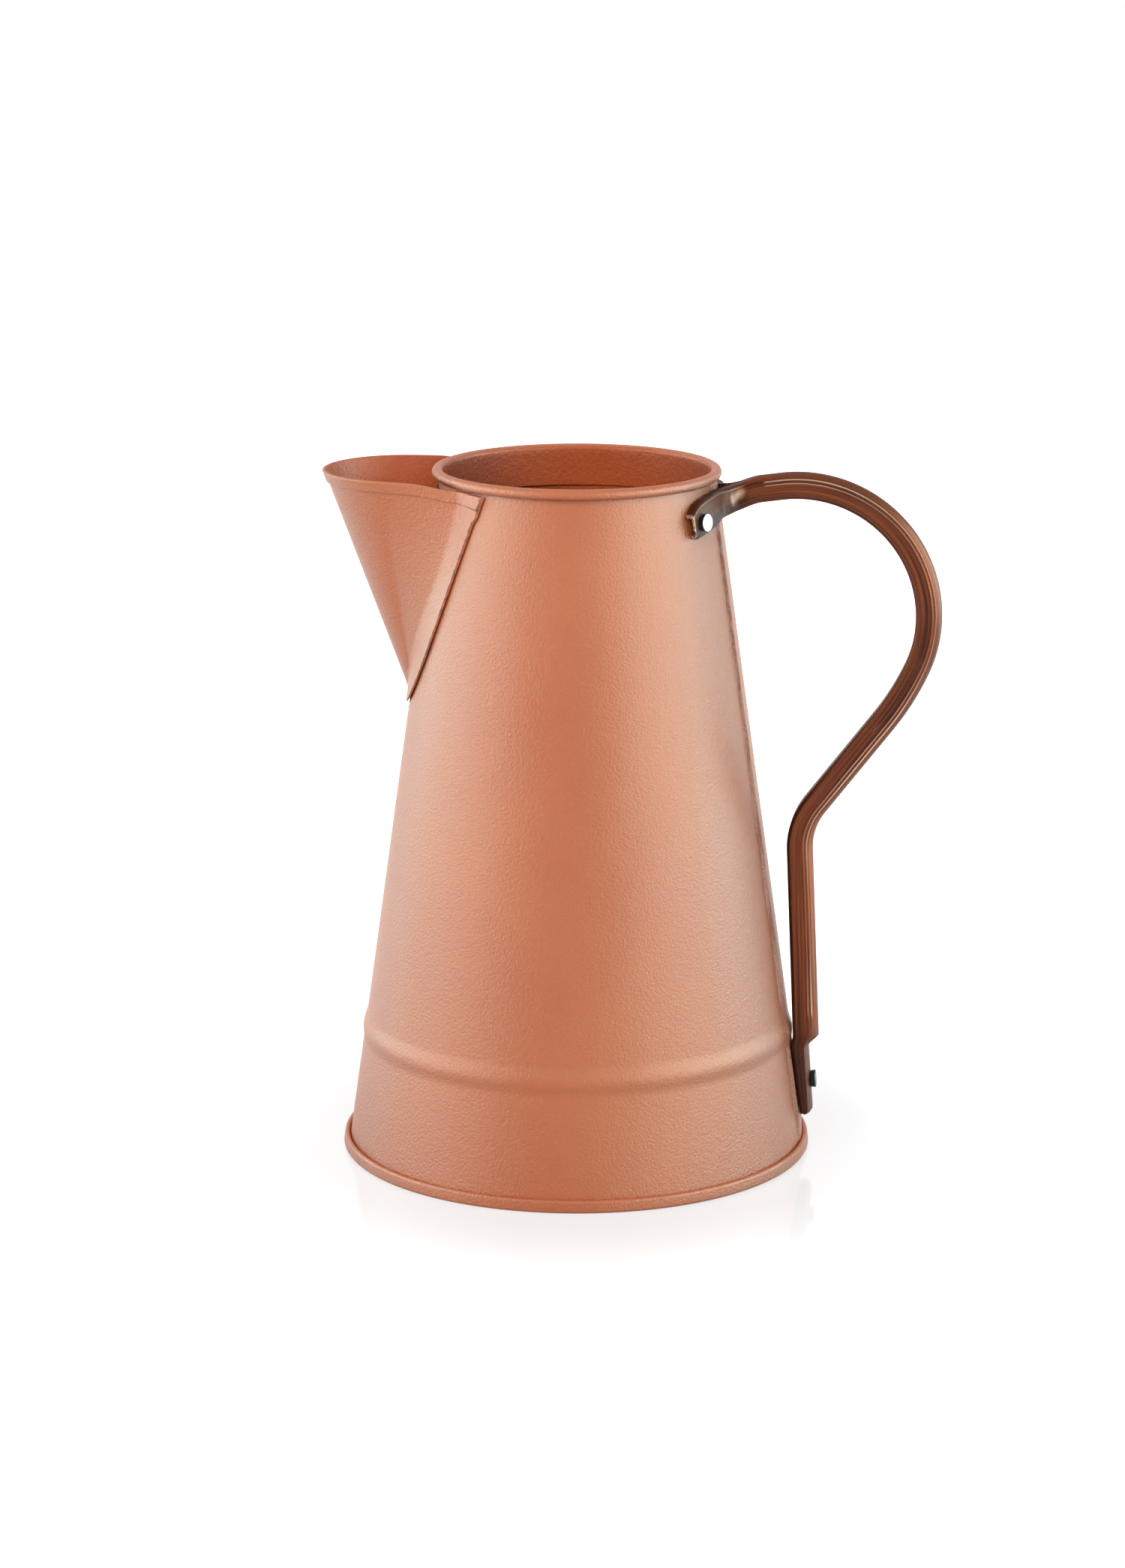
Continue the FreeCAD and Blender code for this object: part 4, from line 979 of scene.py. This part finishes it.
def lower_rivet_piece():
    """Rivet through the foot, square to its outside face."""
    ankle = wall(ANKLE, SEAM_RISE + FOOT_AIR + ANKLE_DEPTH)
    toe = wall(TOE, SEAM_RISE + FOOT_AIR + TOE_DEPTH)
    share = (LOWER_RIVET - TOE) / (ANKLE - TOE)
    origin = np.array([toe + (ankle - toe) * share, 0.0, LOWER_RIVET])
    outwards = np.array([ANKLE - TOE, 0.0, toe - ankle])
    points, dark = rivet_grid(origin, outwards, LOWER_GRIP)
    sheet = Sheet("jug_lower_rivet")
    sheet.grid(points, dark=dark)
    return sheet.build([dark_rivet], crease=50.0)


PIECES = (
    (body_piece, "body_shell", "coated_sheet"),
    (base_piece, "base_disc", "coated_sheet"),
    (spout_piece, "spout_shell", "coated_sheet"),
    (handle_piece, "handle", "browned_sheet"),
    (upper_rivet_pieces, "upper_rivets", "bare_rivet"),
    (lower_rivet_piece, "lower_rivet", "browned_rivet"),
)
for make, node, slot in PIECES:
    made = make()
    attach(made, "root")
    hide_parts(node)

KEPT = (("rim_wire", steel), ("upper_rivet_washers", steel), ("lower_rivet_washer", steel),
        ("base_seam_sealant", sealant), ("spout_joint_sealant", sealant))
for node, finish in KEPT:
    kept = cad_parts[node]
    for index in range(max(len(kept.material_slots), 1)):
        if kept.material_slots:
            kept.material_slots[index].material = finish
        else:
            kept.data.materials.append(finish)


# ---------------------------------------------------------------- floor, light and camera
FLOOR_LEVEL, FLOOR_REACH = -0.05, 6000.0        # mm
LAMP_AIM = 0.14                                 # height of the jug's middle, in metres
COOL = (0.64, 1.0, 1.0)
AMBIENT = 0.14
CAMERA_FALL = 0.2385
CAMERA_TURN = math.radians(7.0) + 0.0033


def floor_finish():
    """Pale satin floor; seen rays find it white beyond the jug's own soft shade."""
    f = Finish("pale_floor")
    at = f.place()
    cloud = f.noise(at, 6.0, 2.0)
    colour = f.mix(cloud * 0.3, (0.4, 0.4, 0.4, 1), (0.43, 0.43, 0.43, 1))
    shader = f.node("ShaderNodeBsdfPrincipled", {}, {
        "Base Color": colour, "Roughness": 0.7, "Specular IOR Level": 0.0})
    white = f.node("ShaderNodeEmission", {}, {"Color": (1, 1, 1, 1), "Strength": 1.85})
    away = f.node("ShaderNodeVectorMath", {"operation": "LENGTH"}, {0: at}, output="Value")
    seen = f.background_rays()
    share = seen * (away.over(0.1, 0.28) * 0.58 + 0.42)
    surface = f.node("ShaderNodeMixShader", {}, {0: share, 1: shader, 2: white})
    polish = f.node("ShaderNodeBsdfGlossy", {}, {"Color": (1, 1, 1, 1), "Roughness": 0.08})
    surface = f.node("ShaderNodeMixShader", {}, {0: seen * 0.13, 1: surface, 2: polish})
    f.node("ShaderNodeOutputMaterial", {}, {"Surface": surface})
    return f.material


def floor_piece():
    """Wide level floor, a plain grid."""
    reach = np.linspace(-FLOOR_REACH, FLOOR_REACH, 9)
    x, y = np.meshgrid(reach, reach)
    sheet = Sheet("studio_floor")
    sheet.grid(np.stack([x, y, np.full_like(x, FLOOR_LEVEL)], -1))
    return sheet.build([floor_finish()])


floor_piece()


def lamp(name, turn, height, away, size, radiance, colour=(1, 1, 1), diffuse=True,
         glossy=True):
    """Soft rectangular lamp turned about the jug from the front, facing its middle.

    radiance is the brightness of its face; a lamp may be left out of diffuse or glossy light.
    """
    data = bpy.data.lights.new(name, "AREA")
    data.shape = "RECTANGLE"
    data.size, data.size_y = size
    data.color = colour
    data.energy = radiance * math.pi * size[0] * size[1]
    made = bpy.data.objects.new(name, data)
    turn = math.radians(turn)
    fall = math.atan2(height - LAMP_AIM, away)
    made.location = (away * math.sin(turn), -away * math.cos(turn), height)
    made.rotation_euler = (math.pi / 2 - fall, 0.0, turn)
    made.visible_camera = False
    made.visible_diffuse, made.visible_glossy = diffuse, glossy
    bpy.context.scene.collection.objects.link(made)


lamp("left_softbox", -82.0, 0.12, 1.2, (2.2, 1.9), 6.4, COOL, diffuse=False)
lamp("right_softbox", 82.0, 0.1, 1.2, (2.2, 1.9), 9.2, COOL, diffuse=False)
lamp("front_fill", -8.0, 1.0, 1.3, (1.8, 1.2), 3.4, glossy=False)
lamp("top_softbox", 0.0, 1.7, 0.3, (1.6, 1.2), 0.7)
lamp("back_fill", 186.0, 0.9, 1.4, (1.8, 1.2), 1.9, glossy=False)


def studio_surround():
    """Even pale surround, white to seen rays; glossy ones find it dim on the front side."""
    f = Finish("studio", surround=True)
    way = f.node("ShaderNodeTexCoord", output="Generated")
    behind = f.node("ShaderNodeSeparateXYZ", {}, {0: way}, output="Y").over(-0.35, 0.3)
    seen = f.background_rays()
    glossy = f.node("ShaderNodeLightPath", output="Is Glossy Ray")
    white = seen - glossy * (1.0 - behind) * 0.95
    plain = 1.0 - seen
    light = f.node("ShaderNodeBackground", {}, {
        "Color": (1, 1, 1, 1), "Strength": white + plain * AMBIENT})
    f.node("ShaderNodeOutputWorld", {}, {"Surface": light})
    bpy.context.scene.world = f.material


studio_surround()

camera_data = bpy.data.cameras.new("camera")
camera_data.sensor_width = 36.0
camera_data.lens = 100.58
camera_data.clip_end = 50.0
camera = bpy.data.objects.new("camera", camera_data)
camera.location = (0.2096, -1.7069, 0.5681)
camera.rotation_euler = (math.pi / 2 - CAMERA_FALL, 0.0, CAMERA_TURN)
bpy.context.scene.collection.objects.link(camera)
bpy.context.scene.camera = camera
bpy.context.scene.view_settings.view_transform = "Standard"
